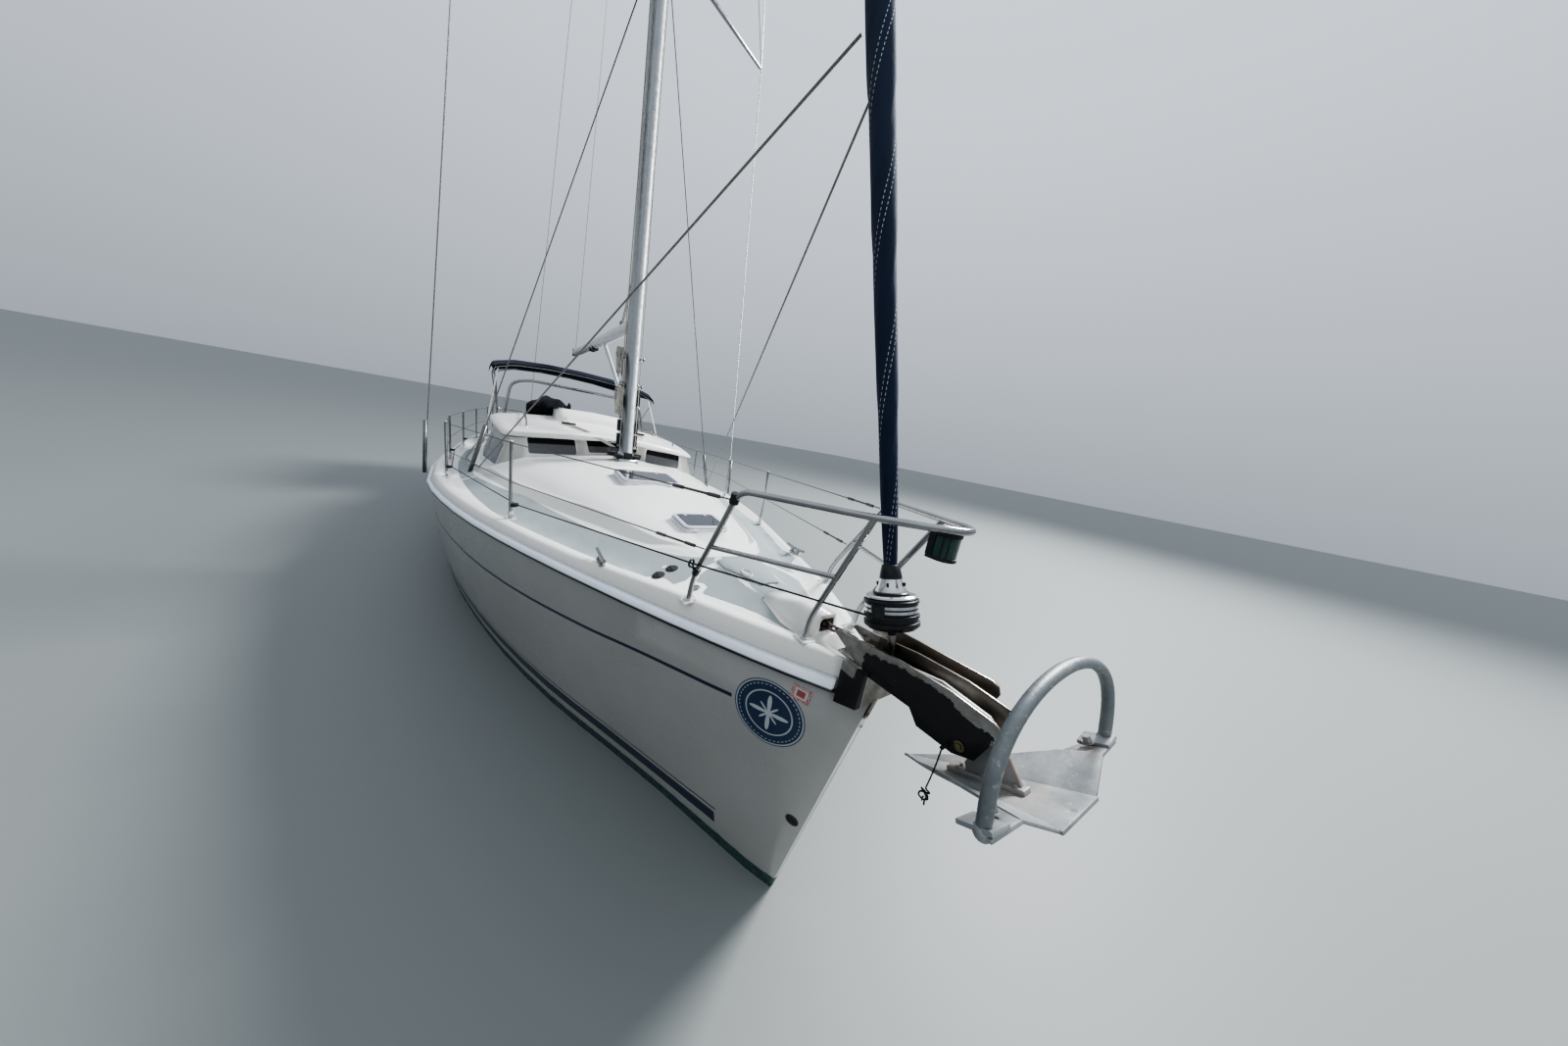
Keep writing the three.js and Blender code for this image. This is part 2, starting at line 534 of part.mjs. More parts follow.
// Spars
const BOOM_Z = 3430, GOOSE_X = 1530, BOOM_END = -3700;
const mastCentre = (z) => MAST_X - MAST_RAKE * (z - MAST_Z);
const mastRing = (z, grow = 0) => {
  const k = z > 16000 ? 1 - 0.35 * (z - 16000) / (MAST_TOP - 16000) : 1;
  return Array.from({ length: 16 }, (_, i) => {
    const f = (i + 0.5) / 16 * Math.PI * 2;
    return [mastCentre(z) + Math.cos(f) * (118 * k + grow), Math.sin(f) * (78 * k + grow), z];
  });
};
const mastPiece = (z0, z1, grow = 0) => loft([z0, 16000, z1].filter((z) => z >= z0 && z <= z1)
  .map((z) => mastRing(z, grow)));
const mastClear = mastPiece(1700, MAST_TOP + 20, 0.5);
add('mast', union([mastPiece(1700, MAST_TOP),
  box(mastCentre(18200) - 120, mastCentre(18200) + 140, -30, 30, MAST_TOP - 20, MAST_TOP + 25),
  mastPiece(1700, MAST_Z + 70, 14), box(1560, 1920, -110, 110, 1700, MAST_Z + 10),
  ...[BOOM_Z - 62, BOOM_Z + 50 + GAP, 2388, 2480 + GAP].map((z) => box(GOOSE_X - 16, 1640, -16, 16, z, z + 12 - GAP)),
  ])
  .subtract(deckTrim), ALLOY, 0.4, 0.7);

const SPREADERS = [
  { name: 'spreaders_lower', z: 7200, tip: [800, 1590, 7440] },
  { name: 'spreaders_upper', z: 11900, tip: [700, 1120, 12120] },
];
for (const { name, z, tip } of SPREADERS) {
  const arm = (s) => loft([[mastCentre(z) - 40, s * 60, z, 45], [tip[0], s * tip[1], tip[2], 26]]
    .map(([x, y, h, w]) => [[x - w, y, h], [x, y, h + w * 0.38], [x + w, y, h], [x, y, h - w * 0.38]]));
  add(name, union([mastPiece(z - 60, z + 60, 14), arm(-1), arm(1)]).subtract(mastClear)
    .subtract(box(0, mastCentre(z), -14, 14, z - 100, z + 100)), 0x8b9094, 0.4, 0.8);
}

const boomRing = (x, z) => Array.from({ length: 12 }, (_, i) => {
  const f = (i + 0.5) / 12 * Math.PI * 2;
  return [x, Math.cos(f) * 62, z + Math.sin(f) * 85];
});
add('boom', union([
  loft([boomRing(GOOSE_X - 60, BOOM_Z), boomRing(BOOM_END, BOOM_Z + 90)]),
  turned([GOOSE_X, 0, BOOM_Z - 50], [0, 0, 1], [[0, 0], [18, 0], [18, 100], [0, 100]], 12),
  box(GOOSE_X - 70, GOOSE_X, -15, 15, BOOM_Z - 30, BOOM_Z + 30),
  bar([[-200, 0, BOOM_Z - 20], [GOOSE_X - 20, 0, 2440]], 32, 10),
  turned([GOOSE_X, 0, 2400], [0, 0, 1], [[0, 0], [16, 0], [16, 80], [0, 80]], 12),
]), 0xc9cccb, 0.4, 0.6);

// Luff band of the furled mainsail on the aft face of the mast
add('mainsail_furled', loft([4060, 9000, 15600].map((z) => {
  const x = mastCentre(z) - 116.1, w = z < 5000 ? 150 : z < 10000 ? 70 : 30;
  return [[x, 6, z], [x, -6, z], [x - w, -9, z + (z < 5000 ? 60 : 0)], [x - w, 9, z + (z < 5000 ? 60 : 0)]];
})), NAVY, 0.9);

// Forestay, furling drum and rolled headsail
const head = [mastCentre(STAY_HEAD_Z) + 112, 0, STAY_HEAD_Z];
const stayDir = V(...head).sub(V(...STAY_FOOT)).normalize();
const stayLen = V(...head).sub(V(...STAY_FOOT)).length();
const onStay = (z) => {
  const t = (z - STAY_FOOT[2]) / (head[2] - STAY_FOOT[2]);
  return [STAY_FOOT[0] + (head[0] - STAY_FOOT[0]) * t, 0, z];
};
const hAt = (z) => (z - STAY_FOOT[2]) / stayDir.z;
const stay = (profile, sides) => turned(STAY_FOOT, stayDir.toArray(),
  profile.map(([r, z]) => [r, hAt(z)]), sides);
add('furling_drum', stay([[0, 1745.5], [17, 1745.5], [17, 1772], [92, 1774], [106, 1788], [106, 1806], [98, 1810],
  [98, 1860], [104, 1862], [104, 1874], [64, 1884], [52, 1910], [40, 1950], [32, 2004], [0, 2004]], 32),
BLACK, 0.4, 0.2);
add('headsail_furled', stay([[0, 2004.5], [24, 2004.5], [34, 2250], [46, 3000], [62, 4200], [74, 6000], [70, 9000],
  [50, 13000], [26, 15500], [0, 15500]], 16), NAVY, 0.9);
add('forestay_head', stay([[0, 15500.5], [24, 15500.5], [24, 15640], [6, 15650], [6, 16245], [0, 16245]], 12)
  .subtract(mastClear), STEEL, 0.3, 0.9);

// Standing rigging
const CHAIN_OUT = [950, 1985, 1200], CHAIN_IN = [880, 1600, 1300];
for (const [side, s] of [['starboard', -1], ['port', 1]]) {
  const at = ([x, y, z]) => [x, s * y, z];
  const lowTip = [800, 1606, 7440], upTip = [700, 1136, 12120];
  const top = [mastCentre(16250) - 20, 66, 16250];
  const cap = union([
    bar([at([CHAIN_OUT[0], CHAIN_OUT[1], 1330]), at(lowTip), at(upTip), at(top)], 6, 6),
    bar([at(lowTip), at([mastCentre(11800) - 20, 70, 11800])], 5, 6),
    bar([at([CHAIN_OUT[0], CHAIN_OUT[1], 1300]), at([CHAIN_OUT[0] - 8, CHAIN_OUT[1] - 20, 1900])], 19, 8),
  ]).subtract(mastClear);
  add(`cap_shroud_${side}`, cap, STEEL, 0.3, 0.9);
  add(`lower_shroud_${side}`, union([
    bar([at(CHAIN_IN), at([mastCentre(7000) - 20, 70, 7000])], 6, 6),
    bar([at(CHAIN_IN), at([CHAIN_IN[0] + 55, CHAIN_IN[1] - 165, 1930])], 24, 8),
  ]).subtract(mastClear).subtract(deckTrim), STEEL, 0.3, 0.9);
}

// Bow fitting: keeps the anchor roller and the end of the forestay
const plate = (y, outline) => prism('y', y - 4, y + 4, outline);
const ROLLER = [6430, -32, 1600];
const cheekLow = [[5860, 1664], [6040, 1585], [6250, 1596], [6290, 1554], [6415, 1560], [6478, 1590], [6505, 1672],
  [6524, 1702], [6518, 1722], [6496, 1734], [6360, 1742], [6170, 1727], [5985, 1694], [5870, 1680]];
const cheekHigh = [[5900, 1600], [6390, 1650], [6420, 1680], [6430, 1712], [6420, 1736], [6396, 1746], [6040, 1722],
  [5900, 1700]];
const LANYARD = { x: 6398, y: -127, eye: 1575, drop: 155, radius: 1.6, sway: -8 };
const bowFitting = union([
  plate(-90, cheekLow), plate(26, cheekLow), plate(112, cheekHigh),
  box(5900, 6240, -94, 116, 1596, 1604),
  turned([ROLLER[0], -94, ROLLER[2]], [0, 1, 0], [[0, 0], [9, 0], [9, 124], [0, 124]], 12),
  prism('y', -122, 104, [[5956, 1404], [6066, 1446], [6066, 1600], [5956, 1600]]),
  prism('y', -15, 15, [[5990, 1252], [6024, 1252], [6068, 1450], [6040, 1450]]),
  box(6020, 6110, -14, 20, 1560, 1612),
  box(LANYARD.x - 5, LANYARD.x + 5, LANYARD.y - 5, -90, LANYARD.eye, LANYARD.eye + 6),
]).subtract(union([[GAP, 0, GAP], [GAP, GAP, 0], [GAP, -GAP, 0], [0, GAP, GAP], [0, -GAP, GAP]]
  .map((d) => hullOuter.translate(d)))).subtract(deckTrim);
add('bow_fitting', union([bowFitting,
  stay([[0, 1600], [11, 1600], [11, 1690], [16, 1692], [16, 1745], [0, 1745]], 12)]), STEEL, 0.35, 0.9);
add('anchor_roller', turned([ROLLER[0], ROLLER[1] - 50, ROLLER[2]], [0, 1, 0],
  [[10, 0], [28, 0], [20, 50], [28, 100], [10, 100], [10, 0]], 20), BLACK, 0.7);

// Anchor in its own frame, tip at the origin: up the fluke, to port, off its flat floor
const ANCHOR = { tip: [6247, -26, 1376], pitch: 30.2, yaw: -4.93, plate: 10 };
const slab = (top) => loft([top, top.map(([s, w, v]) => [s, w, v - ANCHOR.plate])]);
const flukeSide = (k) => [
  [[14, 1, -1], [540, 104, -1], [530, 239, 66], [428, 201, 59], [300, 130, 34], [200, 87, 19], [100, 43, 8]],
  [[428, 194, 54], [487, 347, 70], [528, 354, 68], [531, 234, 63]],
].map((top) => slab(top.map(([s, w, v]) => [s, k * w, v])));
const HOOP = { foot: [501, 339, 62], crown: [604, 0, 345], full: 0.676, radius: 16 };
const hoop = bar(Array.from({ length: 17 }, (_, i) => {
  const f = i / 16 * Math.PI;
  const r = Math.max(0, Math.sin(f)) ** HOOP.full;
  const rise = (k) => HOOP.foot[k] + (HOOP.crown[k] - HOOP.foot[k]) * r;
  return [rise(0), -Math.cos(f) * HOOP.foot[1], rise(2)];
}), HOOP.radius, 8);
const shank = prism('y', -6, 6, [[15, 300], [15, 327], [222, 267], [361, 184], [381, 146], [386, 121], [396, 83],
  [412, 19], [412, 4], [246, 4], [249, 35], [292.3, 87.6], [296.3, 105.3], [291.1, 118], [279.5, 125.3], [171, 188.7]]);
add('anchor', union([slab([[0, 0, 0], [544, 109, 0], [544, -109, 0]]), ...flukeSide(-1), ...flukeSide(1), hoop,
  shank, box(188, 424, -20, 20, -2, 14)])
  .rotate([0, -ANCHOR.pitch, 0]).rotate([0, 0, ANCHOR.yaw]).translate(ANCHOR.tip), ZINC, 0.6, 0.6);

// Short lanyard that hangs from an eye on the starboard cheek, with a knot in its end
const lanyardLine = new THREE.CatmullRomCurve3([0, 0.2, 0.45, 0.7, 1].map((t) => V(
  LANYARD.x + LANYARD.sway * t * t, LANYARD.y, LANYARD.eye - GAP - LANYARD.drop * t)));
const lanyardSection = new THREE.Shape(Array.from({ length: 8 }, (_, i) => {
  const f = i / 8 * Math.PI * 2;
  return new THREE.Vector2(Math.cos(f) * LANYARD.radius, Math.sin(f) * LANYARD.radius);
}));
add('lanyard', solid(new THREE.ExtrudeGeometry(lanyardSection,
  { steps: 24, bevelEnabled: false, extrudePath: lanyardLine })), BLACK, 0.9);
const knot = [LANYARD.x + LANYARD.sway, LANYARD.y, LANYARD.eye - LANYARD.drop - 2 * GAP];
const fromKnot = (dx, dy, dz) => [knot[0] + dx, knot[1] + dy, knot[2] + dz];
add('lanyard_knot', union([
  turned(fromKnot(0, 0, -45), [0, 0, 1], [[0, 0], [6, 2], [11, 12], [8, 23], [11, 34], [5, 45], [0, 45]], 12),
  bar([fromKnot(0, 0, -38), fromKnot(8, -4, -45), fromKnot(18, -5, -84)], LANYARD.radius, 6),
  bar([fromKnot(0, 0, -38), fromKnot(-2, 6, -66)], LANYARD.radius, 6),
]), BLACK, 0.9);

// Rails and guard wires
const R = 13;
const mirror = (pts) => pts.map(([x, y, z]) => [x, -y, z]);
const railTop = [[5215, 470, 1540], [5240, 470, 1680], [5545, 475, 2150], [5590, 462, 2178], [6020, 215, 2200],
  [6180, 110, 2212], [6245, 0, 2216]];
const pulpit = add('pulpit', union([
  bar(railTop, R, 8), bar(mirror(railTop), R, 8),
  ...[-1, 1].flatMap((s) => [
    bar([[5750, s * 152, 1560], [5760, s * 154, 1680], [6020, s * 215, 2200]], R, 8),
    bar([[5372, s * 471, 1880], [5885, s * 184, 1925]], 11, 8),
    box(5180, 5250, s * 470 - 35, s * 470 + 35, 1552, 1566), box(5715, 5785, s * 152 - 35, s * 152 + 35, 1578, 1592),
  ]),
]).subtract(deckTrim), STEEL, 0.25, 0.95);

const STANCHIONS = [3300, 1250, -500, -2300, -3900];
const railY = (x) => gunwale(x)[0] - 105;
for (const [side, s] of [['starboard', -1], ['port', 1]]) {
  const posts = STANCHIONS.map((x) => {
    const y = s * (railY(x) - 20), z = lerpTable(DECK, x, 1);
    return bar([[x, y, z - 60], [x, y, z + 620]], 12, 8);
  });
  const wire = (h) => bar([[h < 400 ? 5318 : 5500, s * 472, h < 400 ? 1850 : 2126], ...STANCHIONS.map((x) => [
    x, s * (railY(x) - 20), lerpTable(DECK, x, 1) + h]), [-5060, s * (railY(-5060) - 20), 1275 + h]], 4, 6);
  add(`lifelines_${side}`, union([...posts, wire(300), wire(600)]).subtract(deckTrim), STEEL, 0.3, 0.9);
}

// Rub rails under the bulwark, from the bow fitting to the quarter
for (const [side, s] of [['starboard', -1], ['port', 1]]) {
  add(`rub_rail_${side}`, loft(RAIL_X.filter((x) => x < 5950 && x > -5690).map((x) => {
    const [y, z] = gunwale(x);
    return [[x, s * (y + GAP), z - 22], [x, s * (y + 26), z - 14], [x, s * (y + 30), z + 30],
      [x, s * (y + GAP), z + 48]];
  })), 0xdfe6ee, 0.35);
}

// Hatches: frame on the moulding, hinged smoked lid
const hatchNames = ['foredeck_hatch', 'saloon_hatch'];
HATCHES.forEach(([x, y, z, lx, ly], i) => {
  const [hx, hy] = [lx / 2, ly / 2];
  const place = (m) => m.rotate([0, HATCH_TILT, 0]).translate([x, y, z]);
  const ring = box(-hx, hx, -hy, hy, -60, 16).subtract(box(40 - hx, hx - 40, 40 - hy, hy - 40, -80, 40));
  add(`${hatchNames[i]}_frame`, place(ring).subtract(deckTrim), ALLOY, 0.35, 0.8);
  add(`${hatchNames[i]}_lid`, place(box(8 - hx, hx - 8, 8 - hy, hy - 8, 16 + GAP, 36)), GLASS, 0.1);
});

// Anchor locker lid lies in the foredeck
const lockerLid = prism('z', 1500, 1700, [[5250, 55], [5250, -55], [4960, -150], [4860, -150], [4860, 150], [4960, 150]]);
add('anchor_locker_lid', underDeck(12).subtract(underDeck(GAP)).intersect(lockerLid), GREY, 0.7);

// Roof gear
add('companionway_slide', box(-1980, -1075, -370, 370, 2140, 2162), GLASS, 0.15);
add('companionway_door', union([box(-1968, -1944, -320, 322, 1075, 2128),
  ...[1760, 1900].map((z) => turned([-1956, -331, z], [0, 0, 1], [[0, 0], [9, 0], [9, 60], [0, 60]], 12)),
  ...[1760, 1900].map((z) => box(-1962, -1950, -331, -318, z, z + 60))]), GLASS, 0.15);
add('engine', box(-2900, -2100, -250, 250, -420, 380).subtract(hull.translate([0, 0, GAP])).subtract(hull)
  , 0x5a5f63, 0.6, 0.4);

// Steering
const WHEEL_X = -4440, WHEEL_Z = 1480;
add('steering_pedestal', union([
  box(-4400, -4200, -110, 110, SOLE + GAP, 1180), box(-4400, -4180, -150, 150, 1180, 1560),
  bar([[-4190, -200, SOLE + 2], [-4170, -200, 1640], [-4170, 200, 1640], [-4190, 200, SOLE + 2]], 14, 8),
]).add(box(-4195, -4165, -200, 200, 1480, 1500)), WHITE, 0.4);
const torus = new THREE.TorusGeometry(480, 14, 6, 28);
torus.rotateY(Math.PI / 2);
torus.translate(WHEEL_X, 0, WHEEL_Z);
add('steering_wheel', union([
  solid(torus), turned([WHEEL_X - 30, 0, WHEEL_Z], [1, 0, 0], [[0, 0], [40, 0], [40, 69.7], [0, 69.7]], 12),
  ...[0, 1, 2].map((i) => {
    const f = i * Math.PI * 2 / 3 + Math.PI / 2;
    return bar([[WHEEL_X, 0, WHEEL_Z], [WHEEL_X, Math.cos(f) * 478, WHEEL_Z + Math.sin(f) * 478]], 9, 6);
  }),
]), STEEL, 0.25, 0.95);

// Arch, bimini, pushpit, stern gear
const archHalf = (s, x0, x1) => [[x0, s * 1290, 1440], [x0 - 40, s * 1310, 1900], [x1, s * 1200, 2560],
  [x1, s * 900, 2660]];
add('arch', union([
  bar([...archHalf(-1, -2300, -2450), ...archHalf(1, -2300, -2450).reverse()], 25, 8),
  bar([...archHalf(-1, -2700, -2600), ...archHalf(1, -2700, -2600).reverse()], 25, 8),
  ...[-1, 1].map((s) => bar([[-2450, s * 900, 2655], [-2600, s * 900, 2655]], 16, 8)),
]).subtract(deckTrim), STEEL, 0.25, 0.95);
const CANOPY = [[-2450, 2905], [-2750, 3010], [-3700, 3060], [-4650, 3030], [-4950, 2930]];
const canopyRing = ([x, z]) => {
  const half = [[1540, -230], [1500, -110], [1150, 0], [600, 55], [0, 70]];
  const top = half.map(([y, d]) => [y, z + d]);
  const low = half.map(([y, d]) => [y * 0.985, z + d - 24]);
  return [...top.map(([y, h]) => [x, -y, h]), ...top.slice(0, -1).reverse().map(([y, h]) => [x, y, h]),
    ...low.slice(0, -1).map(([y, h]) => [x, y, h]), ...low.slice().reverse().map(([y, h]) => [x, -y, h])];
};
add('bimini', loft(CANOPY.map(canopyRing)), NAVY, 0.95);
const hoopX = [-2520, -3700, -4880];
add('bimini_frame', union([
  ...hoopX.map((x) => {
    const z = { [-2520]: 2925, [-3700]: 3060, [-4880]: 2949 }[x];
    const half = [[1490, -245], [1450, -146], [1150, -35.6], [600, 19.4], [0, 34.4]];
    return bar([[-3700, -1440, 1950], ...half.map(([y, d]) => [x, -y, z + d]),
      ...half.slice(0, -1).reverse().map(([y, d]) => [x, y, z + d]), [-3700, 1440, 1950]], 11, 6);
  }),
  ...[-1, 1].map((s) => bar([[-3700, s * 1440, 1220], [-3700, s * 1440, 2000]], 13, 8)),
]).subtract(loft(CANOPY.map(([x, z]) => canopyRing([x, z]).map(([a, b, c]) => [a, b, c - 1]))))
  .subtract(loft(CANOPY.map(canopyRing))).subtract(deckTrim), STEEL, 0.25, 0.95);

const CLEAT_X = 4530;
for (const [side, s] of [['starboard', -1], ['port', 1]]) {
  const y = (x) => s * (railY(x) - 10);
  add(`pushpit_${side}`, union([
    bar([[-5080, y(-5080), 1240], [-5080, y(-5080), 1900], [-5560, y(-5560), 1900], [-5640, s * 1300, 1900],
      [-5640, s * 800, 1900], [-5640, s * 800, 1240]], 13, 8),
    bar([[-5080, y(-5080), 1590], [-5560, y(-5560), 1590], [-5640, s * 1300, 1590], [-5640, s * 800, 1590]], 11, 6),
    bar([[-5560, y(-5560), 1240], [-5560, y(-5560), 1900]], 12, 8),
  ]).subtract(deckTrim), STEEL, 0.25, 0.95);
  add(`primary_winch_${side}`, turned([-3000, s * 1250, 1485], [0, 0, 1],
    [[0, 0], [70, 0], [70, 30], [46, 50], [44, 120], [60, 140], [60, 160], [0, 160]], 20), STEEL, 0.2, 1);
  const [x, cy, z] = [CLEAT_X, s * (gunwale(CLEAT_X)[0] - 62), lerpTable(DECK, CLEAT_X, 1)];
  add(`cleat_bow_${side}`, union([
    bar([[x - 110, cy, z + 52], [x - 50, cy, z + 46], [x + 50, cy, z + 46], [x + 110, cy, z + 52]], 12, 8),
    ...[-36, 36].map((dx) => box(x + dx - 14, x + dx + 14, cy - 12, cy + 12, z - 20, z + 46)),
    box(x - 60, x + 60, cy - 16, cy + 16, z - 20, z + 8),
  ]).subtract(deckTrim), STEEL, 0.3, 0.9);
}
add('stern_gate', union([box(GATE_X - 13, GATE_X + 13, -588, 588, GATE_Z + 17, 1440),
  ...[-1, 1].flatMap((s) => [
    turned([GATE_X, s * 510 - 50, GATE_Z], [0, 1, 0], [[0, 0], [9, 0], [9, 100], [0, 100]], 12),
    box(GATE_X - 8, GATE_X + 8, s * 510 - 50, s * 510 + 50, GATE_Z, GATE_Z + 20),
  ])]), WHITE, 0.45);
add('swim_ladder', union([
  ...[-1, 1].map((s) => bar([[-6222, s * 180, 330], [-6222, s * 180, 1210]], 13, 8)),
  ...[520, 780, 1040, 1200].map((z) => bar([[-6222, -180, z], [-6222, 180, z]], 11, 6)),
  bar([[-6222, -230, 330], [-6222, 230, 330]], 13, 6),
]), STEEL, 0.25, 0.95);
add('bow_light', union([box(6130, 6215, -44, 44, 2098, 2198), box(6205, 6255, -12, 12, 2150, 2165),
  box(6235, 6255, -12, 12, 2150, 2220)]).subtract(pulpit.translate([0, 0, -GAP])).subtract(pulpit), BLACK, 0.5);

export { group as default };
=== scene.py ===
# %% [markdown]
# A cruising sailing yacht afloat, dressed around its fixed model.
# The solids hold the true sizes and places. Everything below gives them the
# finish of the real boat: gelcoat, canvas, stainless tube, rope and glass.
# %% Load the model
import bpy, bmesh, json, random
from math import radians, pi, sin, cos, hypot
from mathutils import Vector, Matrix
from mathutils.bvhtree import BVHTree


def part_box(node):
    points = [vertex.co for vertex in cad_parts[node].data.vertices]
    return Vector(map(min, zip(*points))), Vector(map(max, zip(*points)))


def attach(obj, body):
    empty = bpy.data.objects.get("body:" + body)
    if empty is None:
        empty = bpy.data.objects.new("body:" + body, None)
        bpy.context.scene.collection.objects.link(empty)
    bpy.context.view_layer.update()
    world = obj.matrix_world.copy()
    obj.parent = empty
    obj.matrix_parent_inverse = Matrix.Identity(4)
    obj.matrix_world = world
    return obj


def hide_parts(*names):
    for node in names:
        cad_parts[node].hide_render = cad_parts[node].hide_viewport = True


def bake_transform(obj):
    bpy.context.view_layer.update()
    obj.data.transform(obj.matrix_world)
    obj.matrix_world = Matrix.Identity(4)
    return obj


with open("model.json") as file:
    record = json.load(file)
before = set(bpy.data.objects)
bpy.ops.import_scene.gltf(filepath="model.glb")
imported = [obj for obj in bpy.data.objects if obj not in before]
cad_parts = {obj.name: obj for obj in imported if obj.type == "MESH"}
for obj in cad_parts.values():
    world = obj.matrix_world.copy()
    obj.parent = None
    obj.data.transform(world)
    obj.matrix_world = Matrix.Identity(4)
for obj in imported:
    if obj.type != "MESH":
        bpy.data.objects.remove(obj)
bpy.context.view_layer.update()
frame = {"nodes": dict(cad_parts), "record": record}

nodes = frame["nodes"]

# %% [markdown]
# The camera stands over the starboard bow, about a metre outboard of the
# anchor, with a very wide lens held a little tilted. Its place was worked
# out from pairs of fittings on both sides of the deck, so the numbers are
# given as axes and a point.
# %% Camera
view_data = bpy.data.cameras.new("bow_view")
view_data.sensor_width, view_data.lens = 36.0, 8.311
view_data.clip_start, view_data.clip_end = 0.05, 600.0
view = bpy.data.objects.new("bow_view", view_data)
bpy.context.scene.collection.objects.link(view)
view.matrix_world = Matrix(((0.57729, -0.27984, 0.76709, 6.776),
                            (0.79691, -0.01166, -0.60399, -1.188),
                            (0.17796, 0.95998, 0.21628, 2.391),
                            (0, 0, 0, 1)))
bpy.context.scene.camera = view
print("camera", [round(v, 3) for v in view.location], "lens", view_data.lens)

# %% [markdown]
# Materials are made of small node chains, so two short helpers come first.
# One starts a Principled material, the other adds a node and feeds its
# inputs from numbers or from other nodes. Every pattern reads Object
# coordinates, which are metres on the boat, so its scale is the real one.
# %% Material helpers
def shader(name, rough=0.5, metal=0.0, coat=0.0):
    mat = bpy.data.materials.new(name)
    mat.use_nodes = True
    tree = mat.node_tree
    bsdf = tree.nodes["Principled BSDF"]
    bsdf.inputs["Roughness"].default_value = rough
    bsdf.inputs["Metallic"].default_value = metal
    bsdf.inputs["Coat Weight"].default_value = coat
    return mat, tree, bsdf

def n(tree, kind, inputs=(), out=0, **settings):
    made = tree.nodes.new("ShaderNode" + kind)
    for key, value in settings.items():
        setattr(made, key, value)
    for key, value in dict(inputs).items():
        if isinstance(value, bpy.types.NodeSocket):
            tree.links.new(value, made.inputs[key])
        else:
            made.inputs[key].default_value = value
    return made.outputs[out]

def rgb(color):
    return (*color, 1.0)

def place(tree):
    return n(tree, "TexCoord", out=3)

def axis(tree, co, k):
    return n(tree, "SeparateXYZ", {0: co}, out=k)

def calc(tree, what, a, b=0.0):
    return n(tree, "Math", {0: a, 1: b}, operation=what)

def span(tree, value, low, high, to_low=0.0, to_high=1.0):
    return n(tree, "MapRange", {0: value, 1: low, 2: high, 3: to_low, 4: to_high})

def mixed(tree, share, a, b):
    return n(tree, "Mix", {0: share, 6: a if not isinstance(a, tuple) else rgb(a),
                           7: b if not isinstance(b, tuple) else rgb(b)}, out=2, data_type="RGBA")

def noise(tree, co, scale, detail=4.0, rough=0.55, stretch=None):
    if stretch:
        co = n(tree, "Mapping", {0: co, 3: stretch})
    return n(tree, "TexNoise", {"Vector": co, "Scale": scale, "Detail": detail, "Roughness": rough})

def feed(tree, bsdf, color=None, rough=None, height=None, relief=0.0005):
    if color is not None:
        tree.links.new(color, bsdf.inputs["Base Color"])
    if rough is not None:
        tree.links.new(rough, bsdf.inputs["Roughness"])
    if height is not None:
        bump = n(tree, "Bump", {"Height": height, "Distance": relief, "Strength": 1.0})
        tree.links.new(bump, bsdf.inputs["Normal"])
print("helpers ready")

# %% [markdown]
# Most pieces of a boat have a finish that differs a little from place to
# place: a cloudy change of tone, fine specks, and a roughness that follows
# the handling. One function makes that base for many materials.
# %% Cloudy finish
def cloudy(name, tone, other, rough=(0.35, 0.55), metal=0.0, patch=2.5, grain=90.0,
           relief=0.0003, coat=0.0, stretch=None, specks=0.0, dark=(0.1, 0.09, 0.07)):
    mat, tree, bsdf = shader(name, rough[0], metal, coat)
    co = place(tree)
    cloud = noise(tree, co, patch, 7.0, 0.6, stretch)
    fine = noise(tree, co, grain, 3.0)
    color = mixed(tree, span(tree, cloud, 0.35, 0.68), tone, other)
    if specks:
        spots = span(tree, noise(tree, co, grain * 0.35, 6.0, 0.7), 0.66, 0.74, 0.0, specks)
        color = mixed(tree, spots, color, dark)
    feed(tree, bsdf, color, span(tree, cloud, 0.3, 0.7, rough[0], rough[1]), fine, relief)
    return mat
print("cloudy finish ready")

# %% [markdown]
# A short black lanyard hangs from an eye on the starboard cheek of the bow
# roller and ends in a knot. It is a braided cord four millimetres thick.
# A curve with a round bevel is the lightest way to make a hanging line, and
# its route repeats the model's: nearly straight down, a little slack.
# %% Lanyard
def braided(name, tone, fleck, pitch=0.004):
    mat, tree, bsdf = shader(name, 0.85)
    co = place(tree)
    strands = n(tree, "TexWave", {"Vector": co, "Scale": 1.0 / pitch, "Distortion": 1.5, "Detail": 2.0},
                bands_direction="DIAGONAL")
    flecks = span(tree, noise(tree, co, 420.0, 2.0), 0.58, 0.66)
    feed(tree, bsdf, mixed(tree, flecks, tone, fleck), span(tree, strands, 0.0, 1.0, 0.7, 0.95),
         strands, 0.0006)
    return mat

def link(name, data, body, mat):
    if not data.materials:
        data.materials.append(mat)
    ob = bpy.data.objects.new(name, data)
    bpy.context.scene.collection.objects.link(ob)
    if body:
        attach(ob, body)
    return ob

